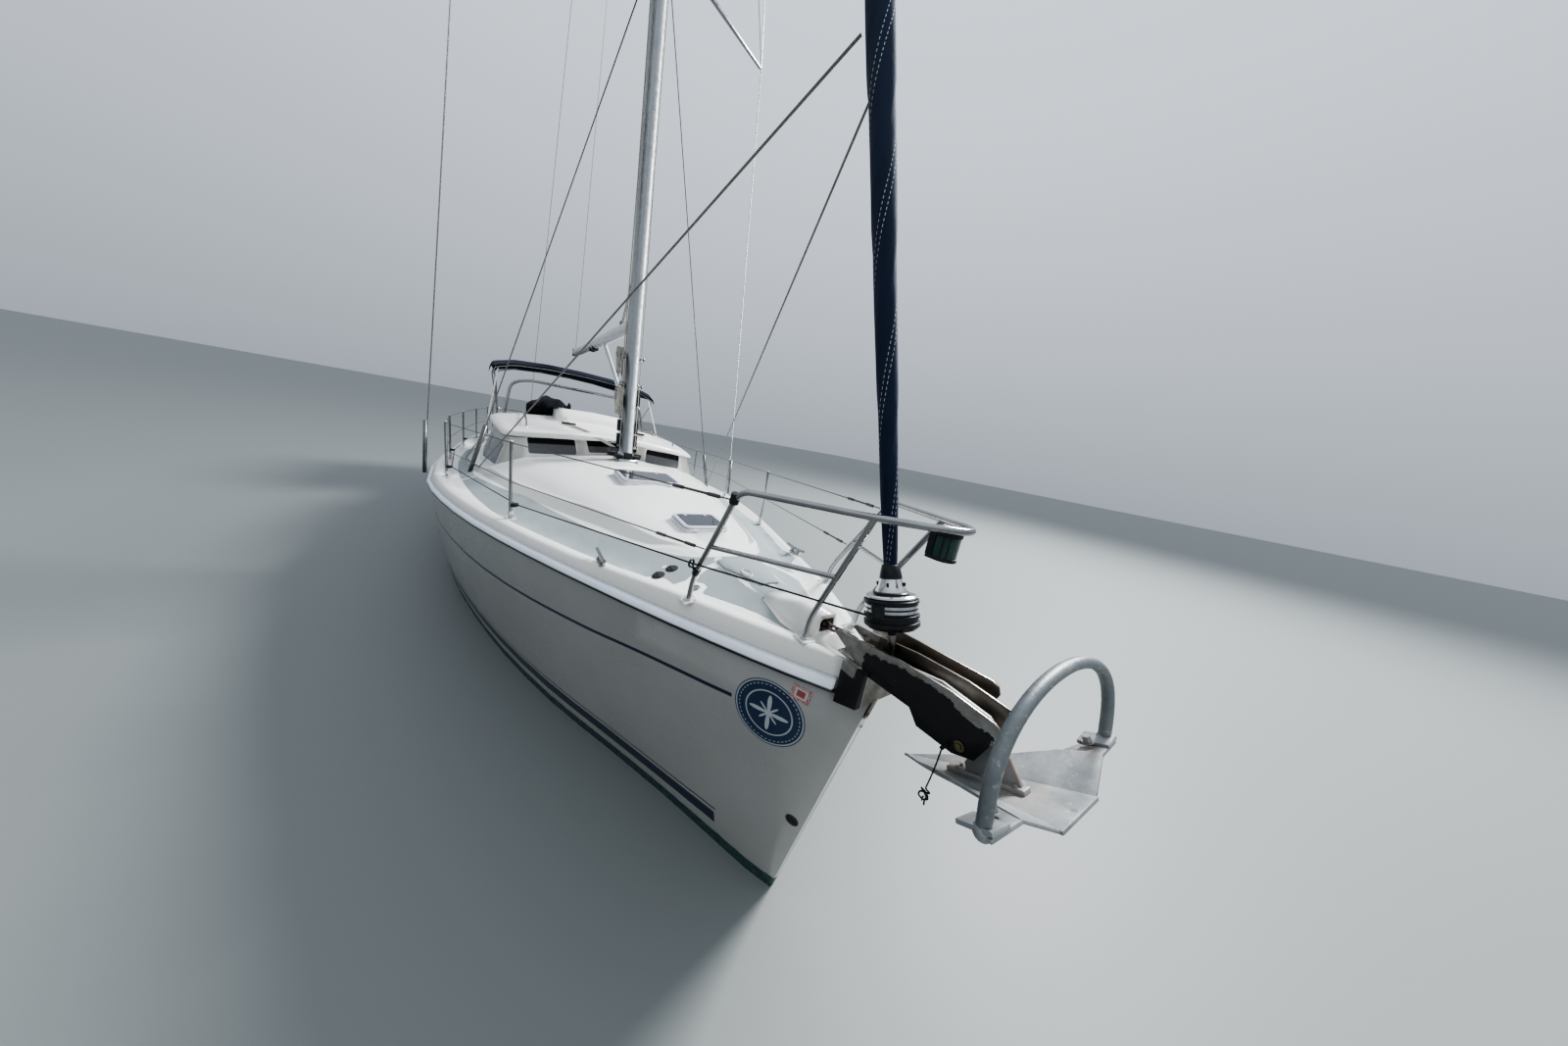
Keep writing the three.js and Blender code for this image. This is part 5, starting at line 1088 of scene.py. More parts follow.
bm = bmesh.new()
fluke(bm, [(0, 0, 0), (0.544, 0.109, 0), (0.544, -0.109, 0)])
SIDE = [(0.014, 0.001, -0.001), (0.540, 0.104, -0.001), (0.530, 0.239, 0.066), (0.428, 0.201, 0.059),
        (0.300, 0.130, 0.034), (0.200, 0.087, 0.019), (0.100, 0.043, 0.008)]
WING = [(0.428, 0.194, 0.054), (0.487, 0.347, 0.070), (0.528, 0.354, 0.068), (0.531, 0.234, 0.063)]
HOOP_FOOT, HOOP_CROWN = (0.501, 0.339, 0.062), (0.604, 0.0, 0.345)
for s in (-1, 1):
    fluke(bm, [(a, s * b, c) for a, b, c in SIDE][::s])
    fluke(bm, [(a, s * b, c) for a, b, c in WING][::s])
    before = set(bm.verts)
    slab(bm, [(-0.045, -0.038), (0.036, -0.038), (0.036, 0.030), (-0.045, 0.030)], 0.0, 0.011, 0.002)
    turn_to(bm, fresh_verts(bm, before), (0.498, s * 0.318, 0.066), (-0.05, -s * 0.13, 1))
    add_bolt(bm, (0.487, s * 0.268, 0.0735), (0, -s * 0.2, 1), 0.024, 0.020)
hoop = []
for i in range(33):
    f = pi * i / 32
    rise = max(0.0, sin(f)) ** 0.676
    hoop.append((HOOP_FOOT[0] + (HOOP_CROWN[0] - HOOP_FOOT[0]) * rise, -cos(f) * HOOP_FOOT[1],
                 HOOP_FOOT[2] + (HOOP_CROWN[2] - HOOP_FOOT[2]) * rise))
plate_faces = set(bm.faces)
add_tube(bm, hoop, 0.016, 9)
for f in bm.faces:
    f.material_index = 0 if f in plate_faces else 1
for s in (-1, 1):
    before = set(bm.verts)
    bmesh.ops.create_uvsphere(bm, u_segments=14, v_segments=8, radius=0.0205)
    bmesh.ops.translate(bm, vec=(HOOP_FOOT[0] + 0.002, s * HOOP_FOOT[1], HOOP_FOOT[2] + 0.006),
                        verts=fresh_verts(bm, before))
SHANK = [(15, 300), (15, 327), (222, 267), (361, 184), (381, 146), (386, 121), (396, 83), (412, 19),
         (412, 4), (246, 4),
         (249, 35), (292.3, 87.6), (296.3, 105.3), (291.1, 118), (279.5, 125.3), (171, 188.7)]
y_prism(bm, [(a / 1000, b / 1000) for a, b in SHANK], -0.006, 0.006, 0.0015)
before = set(bm.verts)
rounded_box(bm, (0.188, -0.020, -0.002), (0.424, 0.020, 0.014), 0.004)
for at in (0.225, 0.308, 0.400):
    for s in (-1, 1):
        add_bolt(bm, (at, s * 0.0125, 0.014), (0, 0, 1), 0.011, 0.007)
slab(bm, disc(0.008, 16, (0.529, 0.0)), 0.0, 0.0004)
bmesh.ops.transform(bm, matrix=HOOK, verts=bm.verts)
anchor = finished("anchor_finished", bm, zinc, sharp=38, replaces=("anchor",),
                  mats=(hoop_zinc,))
print("anchor", len(anchor.data.polygons), "faces")

# %% [markdown]
# A few links of rusty chain join the shank to the hawse. The
# links alternate by a quarter turn, as chain does.
# %% Chain and roller
old_brass = metal_finish("old_brass", (0.30, 0.24, 0.15), (0.19, 0.16, 0.12), (0.3, 0.5), patch=40.0)
rust_steel = metal_finish("rusty_chain", (0.15, 0.12, 0.10), (0.24, 0.21, 0.18), (0.5, 0.75), stain=0.6,
                          patch=40.0)
def add_link(bm, centre, along, up, length=0.050, width=0.030, wire=0.005):
    along, up = Vector(along).normalized(), Vector(up).normalized()
    half = (length - width) / 2
    path = [centre + along * (half + width / 2 * cos(t)) + up * (width / 2 * sin(t))
            for t in [pi * (k / 8 - 0.5) for k in range(9)]]
    path += [centre - along * (half + width / 2 * cos(t)) - up * (width / 2 * sin(t))
             for t in [pi * (k / 8 - 0.5) for k in range(9)]]
    add_tube(bm, path + [path[0]], wire, 3)
bm = bmesh.new()
line_a, line_b = Vector((5.735, -0.03, 1.622)), Vector((6.09, -0.012, 1.655))
step = (line_b - line_a) / 9
for k in range(9):
    add_link(bm, line_a + step * (k + 0.5), step, (0, 1, 0.2) if k % 2 else (0, -0.2, 1))
chain = finished("anchor_chain_end", bm, rust_steel, sharp=60)
bm = merged_copy("anchor_roller")
bmesh.ops.dissolve_limit(bm, angle_limit=radians(1.0), verts=bm.verts, edges=bm.edges)
soften(bm, 0.0015, 30)
finished("anchor_roller_finished", bm, black_rubber, "bow_roller", 40, ("anchor_roller",))
bm = bmesh.new()
slab(bm, disc(0.017, 24), 0.0, 0.004, 0.001)
slab(bm, disc(0.0105, 6), 0.004, 0.011, 0.0012)
turn_to(bm, bm.verts[:], (6.43, -0.0955, 1.60), (0, -1, 0))
finished("roller_bolt", bm, old_brass, sharp=30)
print("chain", len(chain.data.polygons), "faces")

# %% [markdown]
# Deck hatches have a cast frame with rounded corners and a lid that is a
# thin alloy rim around smoked acrylic. The lid's rim is made by insetting
# the top face, so the lens sits a little lower than the rim.
# %% Hatches
def rounded_plan(hx, hy, r, steps=6):
    out = []
    for cx, cy, a0 in ((hx - r, hy - r, 0), (r - hx, hy - r, 1), (r - hx, r - hy, 2), (hx - r, r - hy, 3)):
        out += [(cx + r * cos(pi / 2 * (a0 + i / steps)), cy + r * sin(pi / 2 * (a0 + i / steps)))
                for i in range(steps + 1)]
    return out

lens_grey, tree, bsdf = shader("hatch_lens", 0.06, coat=0.4)
co = place(tree)
haze = span(tree, noise(tree, co, 22.0, 8.0, 0.7), 0.4, 0.75, 0.0, 0.3)
feed(tree, bsdf, mixed(tree, haze, (0.03, 0.036, 0.045), (0.09, 0.10, 0.115)),
     span(tree, noise(tree, co, 14.0, 5.0), 0.3, 0.7, 0.05, 0.16))

def hatch(name, body, at, lx, ly):
    hx, hy = lx / 2, ly / 2
    seat = Matrix.Translation(at) @ Matrix.Rotation(radians(3.8), 4, "Y")
    bm = bmesh.new()
    slab(bm, rounded_plan(hx, hy, 0.055), -0.05, 0.016, 0.004)
    top = max(bm.faces, key=lambda f: f.calc_center_median().z * 10 + f.calc_area())
    bmesh.ops.inset_region(bm, faces=[top], thickness=0.034)
    bmesh.ops.translate(bm, vec=(0, 0, -0.012), verts=top.verts[:])
    for s in (-1, 1):
        rounded_box(bm, (hx - 0.012, s * hy * 0.55 - 0.02, 0.004),
                    (hx + 0.010, s * hy * 0.55 + 0.02, 0.014), 0.003)
    bmesh.ops.transform(bm, matrix=seat, verts=bm.verts)
    finished(name + "_seat", bm, frame_alloy, replaces=(name + "_frame",))
    bm = bmesh.new()
    slab(bm, rounded_plan(hx - 0.008, hy - 0.008, 0.05), 0.0165, 0.035, 0.003)
    top = max(bm.faces, key=lambda f: f.calc_center_median().z * 10 + f.calc_area())
    bmesh.ops.inset_region(bm, faces=[top], thickness=0.020)
    bmesh.ops.inset_region(bm, faces=[top], thickness=0.002)
    bmesh.ops.translate(bm, vec=(0, 0, -0.0025), verts=top.verts[:])
    top.material_index = 1
    for s in (-1, 1):
        slab(bm, disc(0.012, 16, (-hx * 0.62, s * hy * 0.45)), 0.0325, 0.037, 0.0015)
    bmesh.ops.transform(bm, matrix=seat, verts=bm.verts)
    finished(name + "_cover", bm, frame_alloy, body, replaces=(name + "_lid",),
             mats=(lens_grey,))
hatch("foredeck_hatch", "foredeck_hatch", (4.215, 0, 1.652), 0.34, 0.37)
hatch("saloon_hatch", "saloon_hatch", (2.77, 0, 1.734), 0.50, 0.60)
print("two hatches")

# %% [markdown]
# The deckhouse keeps its moulded shape. Its windows sit in shallow frames
# under the brow of the roof. Their upper half is painted near-black as the
# brow's painted shadow and reflection, and their lower half is painted grey
# as a painted reflection, flecked with salt.
# %% Deckhouse and windows
house_mat, tree, bsdf = shader("coachroof_gelcoat", 0.3, coat=0.25)
co = place(tree)
x, y, z = (axis(tree, co, k) for k in range(3))
cloud = noise(tree, co, 1.6, 7.0, 0.6)
color = mixed(tree, span(tree, cloud, 0.35, 0.68), (0.80, 0.80, 0.775), (0.735, 0.73, 0.70))
slope = axis(tree, n(tree, "NewGeometry", out=1), 2)
# Faces that tilt away from the sky are painted darker as painted shade.
color = mixed(tree, span(tree, slope, 0.93, 0.6, 0.0, 0.3), color, (0.66, 0.65, 0.62))
# Along the front, a dark band just under the brow of the roof is painted shadow cast by the brow. A fainter
# grey line five centimetres above it is painted shade along a crease of the brow.
eaves = calc(tree, "SUBTRACT", z,
             calc(tree, "SUBTRACT", 1.975, calc(tree, "MULTIPLY", calc(tree, "ABSOLUTE", y), 0.113)))
front = span(tree, x, 0.55, 0.65)
color = mixed(tree, calc(tree, "MULTIPLY", between(tree, eaves, -0.006, 0.007), front), color,
              (0.10, 0.10, 0.10))
color = mixed(tree, calc(tree, "MULTIPLY", between(tree, eaves, 0.050, 0.003), 0.45), color,
              (0.35, 0.35, 0.34))
dirt = span(tree, noise(tree, co, 11.0, 8.0, 0.72), 0.55, 0.78, 0.0, 0.18)
color = mixed(tree, dirt, color, (0.42, 0.39, 0.33))
feed(tree, bsdf, color, span(tree, cloud, 0.3, 0.7, 0.28, 0.42), noise(tree, co, 30.0, 3.0), 0.0002)
house = dressed("coachroof", house_mat, sharp=50.0)
house_surface = BVHTree.FromPolygons([v.co.copy() for v in house.data.vertices],
                                     [tuple(p.vertices) for p in house.data.polygons])
SHADE_Z = 1.865
pane, tree, bsdf = shader("window_pane", 0.07, coat=0.05)
bsdf.inputs["Specular IOR Level"].default_value = 0.3
co = place(tree)
x, y, z = (axis(tree, co, k) for k in range(3))
# Above the shade line the pane is painted near-black as painted shadow and reflection of the brow. Below it
# the pane is painted mid grey as a painted reflection, with real salt flecks.
drop = calc(tree, "ADD", z, calc(tree, "MULTIPLY", calc(tree, "ABSOLUTE", y), 0.09))
shade_line = span(tree, drop, SHADE_Z - 0.003, SHADE_Z + 0.003)
salt = span(tree, noise(tree, co, 18.0, 8.0, 0.75), 0.42, 0.75, 0.0, 0.35)
grey = mixed(tree, salt, (0.14, 0.145, 0.155), (0.20, 0.205, 0.21))
feed(tree, bsdf, mixed(tree, shade_line, grey, (0.008, 0.009, 0.012)),
     span(tree, noise(tree, co, 9.0, 5.0), 0.3, 0.7, 0.05, 0.16))
for name in ("window_front_starboard", "window_front_centre", "window_front_port", "window_side_starboard",
             "window_side_port"):
    bm = flat_copy(name, 1.0)
    finished(name + "_pane", bm, pane, sharp=30, replaces=(name,))

def on_house(px, py, lift=0.0):
    hit, normal, _, _ = house_surface.ray_cast(Vector((px, py, 3.2)), Vector((0, 0, -1)))
    return (hit + normal * lift) if hit else Vector((px, py, 2.2))

# %% [markdown]
# Roof gear: teak-free handrails of bent tube, a strip of line clutches and
# organisers on each side of the slide, and the halyards that lead aft
# through them. The folded spray cover lies as a black bundle on the roof.
# %% Roof gear
bm = bmesh.new()
for s in (-1, 1):
    for x0, x1 in ((0.55, -0.55), (-0.65, -1.65)):
        feet = [on_house(x0, s * 1.02), on_house(x1, s * 1.02)]
        add_tube(bm, [feet[0], feet[0] + Vector((-0.02, 0, 0.06)), feet[1] + Vector((0.02, 0, 0.06)),
                      feet[1]], 0.011, 5, 0.04)
finished("roof_handrails", bm, stainless)
halyard_mat = braided("halyard_rope", (0.42, 0.40, 0.34), (0.15, 0.20, 0.30))
grey_rope = braided("grey_rope", (0.20, 0.20, 0.19), (0.45, 0.44, 0.42))
dark_rope = braided("dark_rope", (0.028, 0.028, 0.032), (0.14, 0.14, 0.15))
bm = bmesh.new()
cords = bmesh.new()
for s in (-1, 1):
    for k in range(4):
        py = s * (0.49 + 0.035 * k)
        a = on_house(-0.95, py, 0.004)
        rounded_box(bm, a + Vector((-0.075, -0.014, 0)), a + Vector((0.075, 0.014, 0.045)), 0.004, 2)
        path = [Vector((1.62, s * (0.10 + 0.02 * k), 1.93)), Vector((1.0, s * (0.28 + 0.03 * k), 2.03))]
        path += [on_house(x, py * (1 if x < 0.4 else 0.85), 0.012) for x in (0.6, 0.1, -0.4, -0.95, -1.35)]
        add_tube(cords, path, 0.0045, 4, 0.10)
    b = on_house(0.35, s * 0.50, 0.003)
    rounded_box(bm, b + Vector((-0.03, -0.09, 0)), b + Vector((0.03, 0.09, 0.03)), 0.006, 2)
finished("line_clutches", bm, black_plastic)
finished("roof_halyards", cords, halyard_mat, sharp=60)

bm = bmesh.new()
rings = []
for i in range(26):
    t = i / 25
    py = -0.98 + 0.66 * t
    base = on_house(-1.25, py, 0.0)
    swell = ((0.035 + 0.125 * max(0.0, sin(pi * min(1.0, 0.12 + t * 0.80))) ** 0.8)
             * (1 + 0.05 * sin(19 * t)))
    ring = []
    for k in range(22):
        a = 2 * pi * k / 22
        fold = 1 + 0.07 * sin(3 * a + 5 * t) + 0.035 * sin(7 * a - 9 * t)
        ring.append(Vector((-1.25 + cos(a) * swell * 1.5 * fold, py, base.z + swell * 0.95 + sin(a) * swell
                            * fold)))
    rings.append(ring)
sweep(bm, rings)
bundle = finished("folded_spray_cover", bm, black_canvas, sharp=60)
print("roof gear ready")

# %% [markdown]
# The mast is an oval alloy extrusion. A sleeve, a deck collar and dark
# cleats dress its foot, halyards run down both sides, and hanks of spare
# line hang on its starboard side.
# %% Mast, boom and vang
def spar_copy(node, mat, body="yacht", sharp=34):
    bm = flat_copy(node, 0.6)
    return finished(node + "_finished", bm, mat, body, sharp, (node,))
spar_copy("mast", satin_alloy, sharp=38)
boom_mat = cloudy("boom_alloy", (0.62, 0.64, 0.66), (0.54, 0.56, 0.58), (0.3, 0.42), 0.25, patch=3.0,
                  grain=60.0,
                  stretch=(0.15, 1, 1), specks=0.15, dark=(0.25, 0.25, 0.26))
bm = flat_copy("boom", 0.6)
for f in bm.faces:
    c = f.calc_center_median()
    if c.z < 3.36 - max(0.0, 0.3 - c.x) * 0.02 and c.z < 3.43 - 0.085:
        f.material_index = 1
finished("boom_finished", bm, boom_mat, "boom_spar", 38, ("boom",), (white_paint,))

def mast_x(z):
    return 1.740 - 0.035 * (z - 1.812)
bm = bmesh.new()
for s in (-1, 1):
    for z0 in (2.72, 3.05):
        before = set(bm.verts)
        slab(bm, disc(0.040, 24), 0.0, 0.012, 0.002)
        slab(bm, disc(0.026, 20), 0.012, 0.045, 0.004)
        slab(bm, disc(0.034, 24), 0.045, 0.058, 0.004)
        turn_to(bm, fresh_verts(bm, before), (mast_x(z0), s * 0.077, z0), (0, s, 0))
finished("mast_winches", bm, stainless)
bm = bmesh.new()
for s in (-1, 1):
    for z0 in (2.05, 2.22, 2.55):
        rounded_box(bm, (mast_x(z0) - 0.012, min(s * 0.076, s * 0.125), z0 - 0.07),
                    (mast_x(z0) + 0.012, max(s * 0.076, s * 0.125), z0 + 0.07), 0.006)
    rounded_box(bm, (1.60, min(s * 0.09, s * 0.20), 1.825), (1.72, max(s * 0.09, s * 0.20), 1.875), 0.010)
    rounded_box(bm, (1.78, min(s * 0.06, s * 0.15), 1.825), (1.88, max(s * 0.06, s * 0.15), 1.865), 0.010)
rounded_box(bm, (1.84, -0.05, 1.83), (1.90, 0.05, 1.90), 0.012)
finished("mast_foot_blocks", bm, black_plastic)

bm = bmesh.new()
random.seed(9)
for s, offsets in ((-1, (-0.10, -0.05, 0.0, 0.06)), (1, (-0.08, 0.0, 0.07))):
    for k, dx in enumerate(offsets):
        side_y = s * 0.078 * max(0.2, 1 - (dx / 0.118) ** 2) ** 0.5
        points = [(mast_x(z) + dx, side_y + s * (0.006 + 0.018 * (z < 3.4)), z)
                  for z in (1.95, 2.4, 3.2, 5, 8, 11, 14, 17.9)]
        add_tube(bm, points, 0.0045, 4)
for k in range(2):
    top = Vector((mast_x(3.1 - 0.5 * k) - 0.03 + 0.06 * k, -0.125, 3.14 - 0.46 * k))
    for j in range(6):
        wide, tall = 0.035 + 0.008 * (j % 3), 0.30 + 0.05 * random.random()
        lean = (random.random() - 0.5) * 0.03
        loop = []
        for i in range(17):
            a = 2 * pi * i / 16
            loop.append(top + Vector((sin(a) * wide + lean * (1 - cos(a)), -0.012 * j + 0.02 + 0.008
                                      * sin(2 * a),
                                      -(1 - cos(a)) * tall / 2)))
        add_tube(bm, loop, 0.0055, 4)
    for j in range(3):
        ring = [top + Vector((cos(2 * pi * i / 10) * 0.032, -0.015 + sin(2 * pi * i / 10) * 0.045,
                              -0.07 - 0.012 * j)) for i in range(11)]
        add_tube(bm, ring, 0.0055, 4)
hanks = finished("mast_lines", bm, halyard_mat, sharp=60)
print("mast", len(hanks.data.polygons), "faces of line")

# %% [markdown]
# The mainsail rolls away inside the mast. Only its leech strip shows, and
# its clew, which an outhaul holds to a car on the boom. The strip belongs
# to the rolled sail, so it keeps the solid's shape with a canvas finish.
# The clew rides on the boom, so it leaves the strip when the boom swings.
# %% Mainsail strip, clew and outhaul
bm = merged_copy("mainsail_furled")
bmesh.ops.dissolve_limit(bm, angle_limit=radians(0.5), verts=bm.verts, edges=bm.edges)
bmesh.ops.subdivide_edges(bm, edges=[e for e in bm.edges if e.calc_length() > 0.5], cuts=30,
                          use_grid_fill=True)
bmesh.ops.triangulate(bm, faces=[f for f in bm.faces if len(f.verts) > 4])
for v in bm.verts:
    if v.co.x < mast_x(v.co.z) - 0.125:
        v.co.y += 0.006 * sin(v.co.z * 9.0)
strip_sail = finished("mainsail_strip", bm, navy_canvas, replaces=("mainsail_furled",))
bm = bmesh.new()
CLEW = Vector((mast_x(4.1) - 0.27, 0, 4.07))
slab(bm, disc(0.035, 20), -0.006, 0.006, 0.002)
turn_to(bm, bm.verts[:], CLEW, (0, 1, 0))
add_tube(bm, [CLEW, Vector((0.95, 0.0, 3.56))], 0.006, 4)
add_tube(bm, [CLEW + Vector((0, 0.012, 0)), Vector((0.98, 0.012, 3.56))], 0.006, 4)
rounded_box(bm, (0.90, -0.02, 3.515), (1.02, 0.02, 3.57), 0.006)
finished("clew_and_outhaul", bm, grey_rope, "boom_spar", 50)
bm = bmesh.new()
rounded_box(bm, (-3.76, -0.058, 3.44), (-3.69, 0.058, 3.60), 0.012)
rounded_box(bm, (-1.15, -0.05, 3.36), (-1.02, 0.05, 3.43), 0.010)
rounded_box(bm, (-1.45, -0.05, 3.365), (-1.32, 0.05, 3.435), 0.010)
finished("boom_fittings", bm, black_plastic, "boom_spar")
print("boom dressed")

# %% [markdown]
# Wire and tube: shrouds end in long turnbuckle tubes at the deck. The guard
# wires run from the pulpit through five stanchions a side. The furling line
# leads aft through small fairleads at their feet.
# %% Standing rigging
for node in ("cap_shroud_starboard", "cap_shroud_port", "lower_shroud_starboard", "lower_shroud_port",
             "forestay_head"):
    spar_copy(node, wire_steel, sharp=50)
for node in ("spreaders_lower", "spreaders_upper"):
    spar_copy(node, satin_alloy)

POSTS = [(3.3, 1.1842, 1.412), (1.25, 1.7647, 1.324), (-0.5, 1.9039, 1.280), (-2.3, 1.8926, 1.263),
         (-3.9, 1.7998, 1.268)]
wire_mat = cloudy("sheathed_wire", (0.05, 0.05, 0.052), (0.12, 0.12, 0.12), (0.4, 0.6), patch=14.0,
                  grain=300.0)
LEAD_H = 0.115
for side, s in (("starboard", -1), ("port", 1)):
    bm, lines = bmesh.new(), bmesh.new()
    for px, py, pz in POSTS:
        add_tube(bm, [(px, s * py, pz - 0.05), (px, s * py, pz + 0.609)], 0.0125, 6)
        before, tubes = set(bm.verts), set(bm.faces)
        slab(bm, disc(0.0125, 16), 0.0, 0.010, 0.006, 3)
        slab(bm, disc(0.020, 16), -0.575, -0.545, 0.004, 2)
        rounded_box(bm, (-0.038, -0.038, -0.612), (0.038, 0.038, -0.604), 0.003)
        bmesh.ops.translate(bm, vec=(px, s * py, pz + 0.609), verts=fresh_verts(bm, before))
        for f in set(bm.faces) - tubes:
            f.material_index = 1
    for h, start in ((0.3, (5.318, s * 0.472, 1.85)), (0.6, (5.50, s * 0.472, 2.126))):
        path = [start] + [(px, s * py, pz + h) for px, py, pz in POSTS] + [(-5.06, s * 1.6527, 1.275 + h)]
        add_tube(lines, path, 0.0035, 4)
        a, b = Vector(path[0]), Vector(path[1])
        for t0, t1, r in ((0.03, 0.16, 0.006), (0.03, 0.06, 0.009), (0.13, 0.16, 0.009)):
            add_tube(lines, [a.lerp(b, t0), a.lerp(b, t1)], r, 4)
    finished(f"stanchions_{side}", bm, stainless, replaces=(f"lifelines_{side}",),
             mats=(plate_steel,))
    finished(f"guard_wires_{side}", lines, wire_mat)

# %% [markdown]
# Running rigging under load is simply straight, so each line is a thin tube
# between its real ends: two headsail sheets, the furling line with its
# blocks, and the topping lift from the masthead to the end of the boom.
# %% Running rigging
bm = bmesh.new()
sheets = [((5.244, -0.05, 4.067), (1.02, -1.50, 1.42)), ((5.287, 0.05, 3.942), (1.0, 1.52, 1.42))]
for start, foot in sheets:
    start, foot = Vector(start), Vector(foot)
    s = 1 if foot.y > 0 else -1
    add_tube(bm, [start, foot], 0.0065, 4)
    add_tube(bm, [foot, Vector((0.2, foot.y * 1.12, 1.40)), Vector((-1.6, foot.y * 1.12, 1.38)),
                  Vector((-2.9, foot.y * 0.87, 1.54))],
             0.0065, 4)
finished("headsail_sheets", bm, grey_rope, sharp=60)

bm = bmesh.new()
LEG_RING = (5.270, -0.504, 1.764)
lead = ([(5.985, -0.075, 1.80), LEG_RING]
        + [(px, -py + 0.045, pz + LEAD_H) for px, py, pz in POSTS[:4]])
lead += [(-3.2, -1.55, 1.42)]
add_tube(bm, lead, 0.0045, 4)
finished("furling_line", bm, dark_rope, sharp=60)
bm = bmesh.new()
ring = [Vector((0, 0.018 * cos(a), 0.018 * sin(a))) for a in [2 * pi * i / 20 for i in range(21)]]
add_tube(bm, ring, 0.005, 5)
ring_pose = Matrix.Translation(LEG_RING) @ Matrix.Rotation(radians(31), 4, "Z")
bmesh.ops.transform(bm, matrix=ring_pose, verts=bm.verts)
add_tube(bm, [(5.268, -0.496, 1.746), (5.264, -0.478, 1.722)], 0.007, 5)
add_tube(bm, [(5.255, -0.470, 1.703), (5.273, -0.470, 1.731)], 0.018, 6)
for px, py, pz in [(a, -b + 0.03, c + LEAD_H) for a, b, c in POSTS[:4]]:
    before = set(bm.verts)
    slab(bm, disc(0.024, 18), -0.011, 0.011, 0.003)
    slab(bm, disc(0.010, 12), -0.014, 0.014, 0.002)
    turn_to(bm, fresh_verts(bm, before), (px, py, pz), (0.1, -0.25, 1))
    rounded_box(bm, (px - 0.02, py - 0.030, pz - 0.016), (px + 0.02, py - 0.004, pz + 0.016), 0.004)
for s in (-1, 1):
    add_tube(bm, [(5.528, s * 0.476, 2.118), (5.540, s * 0.476, 2.160)], 0.020, 5)
finished("fairleads", bm, black_plastic)
masthead, boom_end = (mast_x(18.1) - 0.11, 0.0, 18.15), (-3.70, 0.0, 3.60)
bm = bmesh.new()
add_tube(bm, [masthead, boom_end], 0.0035, 4)
lift = finished("topping_lift", bm, wire_steel, None, 60)
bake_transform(lift)
bm = bmesh.new()
add_tube(bm, [(mast_x(18.1) - 0.11, 0.0, 18.17), (-5.62, -0.8, 1.62)], 0.004, 4)
finished("backstay", bm, wire_steel, sharp=60)
print("rigging ready")

# %% [markdown]
# The bimini is one sheet of acrylic canvas, laced over three hoops. It is
# made flat in plan as a fine grid, lifted onto the hoops' curve, allowed to
# sag a little between them, and thickened like cloth.
# %% Bimini
ROWS = [(-2.45, 2.905), (-2.75, 3.010), (-3.70, 3.060), (-4.65, 3.030), (-4.95, 2.930)]
ARCH = [(1.54, -0.23), (1.50, -0.11), (1.15, 0.0), (0.60, 0.055), (0.0, 0.070)]
def smooth_row(table, at):
    for (a, va), (b, vb) in zip(table, table[1:]):
        if min(a, b) <= at <= max(a, b):
            t = (at - a) / (b - a)
            return va + (vb - va) * t
    return table[-1][1]
def girth(u):
    run, parts = 0.0, [0.0]
    for (ya, za), (yb, zb) in zip(ARCH[::-1], ARCH[::-1][1:]):
        run += hypot(yb - ya, zb - za)
        parts.append(run)
    want, table = abs(u) * run, ARCH[::-1]
    for i in range(4):
        if want <= parts[i + 1] + 1e-9:
            t = (want - parts[i]) / (parts[i + 1] - parts[i])
            y_, z_ = (table[i][k] + (table[i + 1][k] - table[i][k]) * t for k in (0, 1))
            return (y_ if u >= 0 else -y_), z_
    return (table[-1][0] if u >= 0 else -table[-1][0]), table[-1][1]
bm = bmesh.new()
bmesh.ops.create_grid(bm, x_segments=56, y_segments=64, size=0.5)
uv = bm.loops.layers.uv.new("cloth")
for f in bm.faces:
    for loop in f.loops:
        loop[uv].uv = (loop.vert.co.x + 0.5, loop.vert.co.y + 0.5)
for v in bm.verts:
    t, u = v.co.x + 0.5, v.co.y * 2
    px = -2.455 - t * 2.49
    py, pz = girth(u)
    near = min(abs(px + 2.52), abs(px + 3.70), abs(px + 4.88))
    sag = 0.010 * (1 - cos(min(1.0, near / 0.55) * pi)) * (1 - abs(u) ** 3)
    v.co = Vector((px, py * 0.998, smooth_row(ROWS, px) + pz - sag - 0.004))
for _ in range(2):
    bmesh.ops.smooth_vert(bm, verts=[v for v in bm.verts if not v.is_boundary], factor=0.5,
                          use_axis_x=False, use_axis_y=False, use_axis_z=True)
flat_area = sum(f.calc_area() for f in bm.faces)
if sum(f.normal.z for f in bm.faces) < 0:
    bmesh.ops.reverse_faces(bm, faces=bm.faces)
awning = finished("bimini_cloth", bm, navy_canvas, sharp=80, replaces=("bimini",))
thick = awning.modifiers.new("cloth_thickness", "SOLIDIFY")
thick.thickness, thick.offset = 0.0022, -1.0
print("bimini cloth", round(flat_area, 2), "square metres")

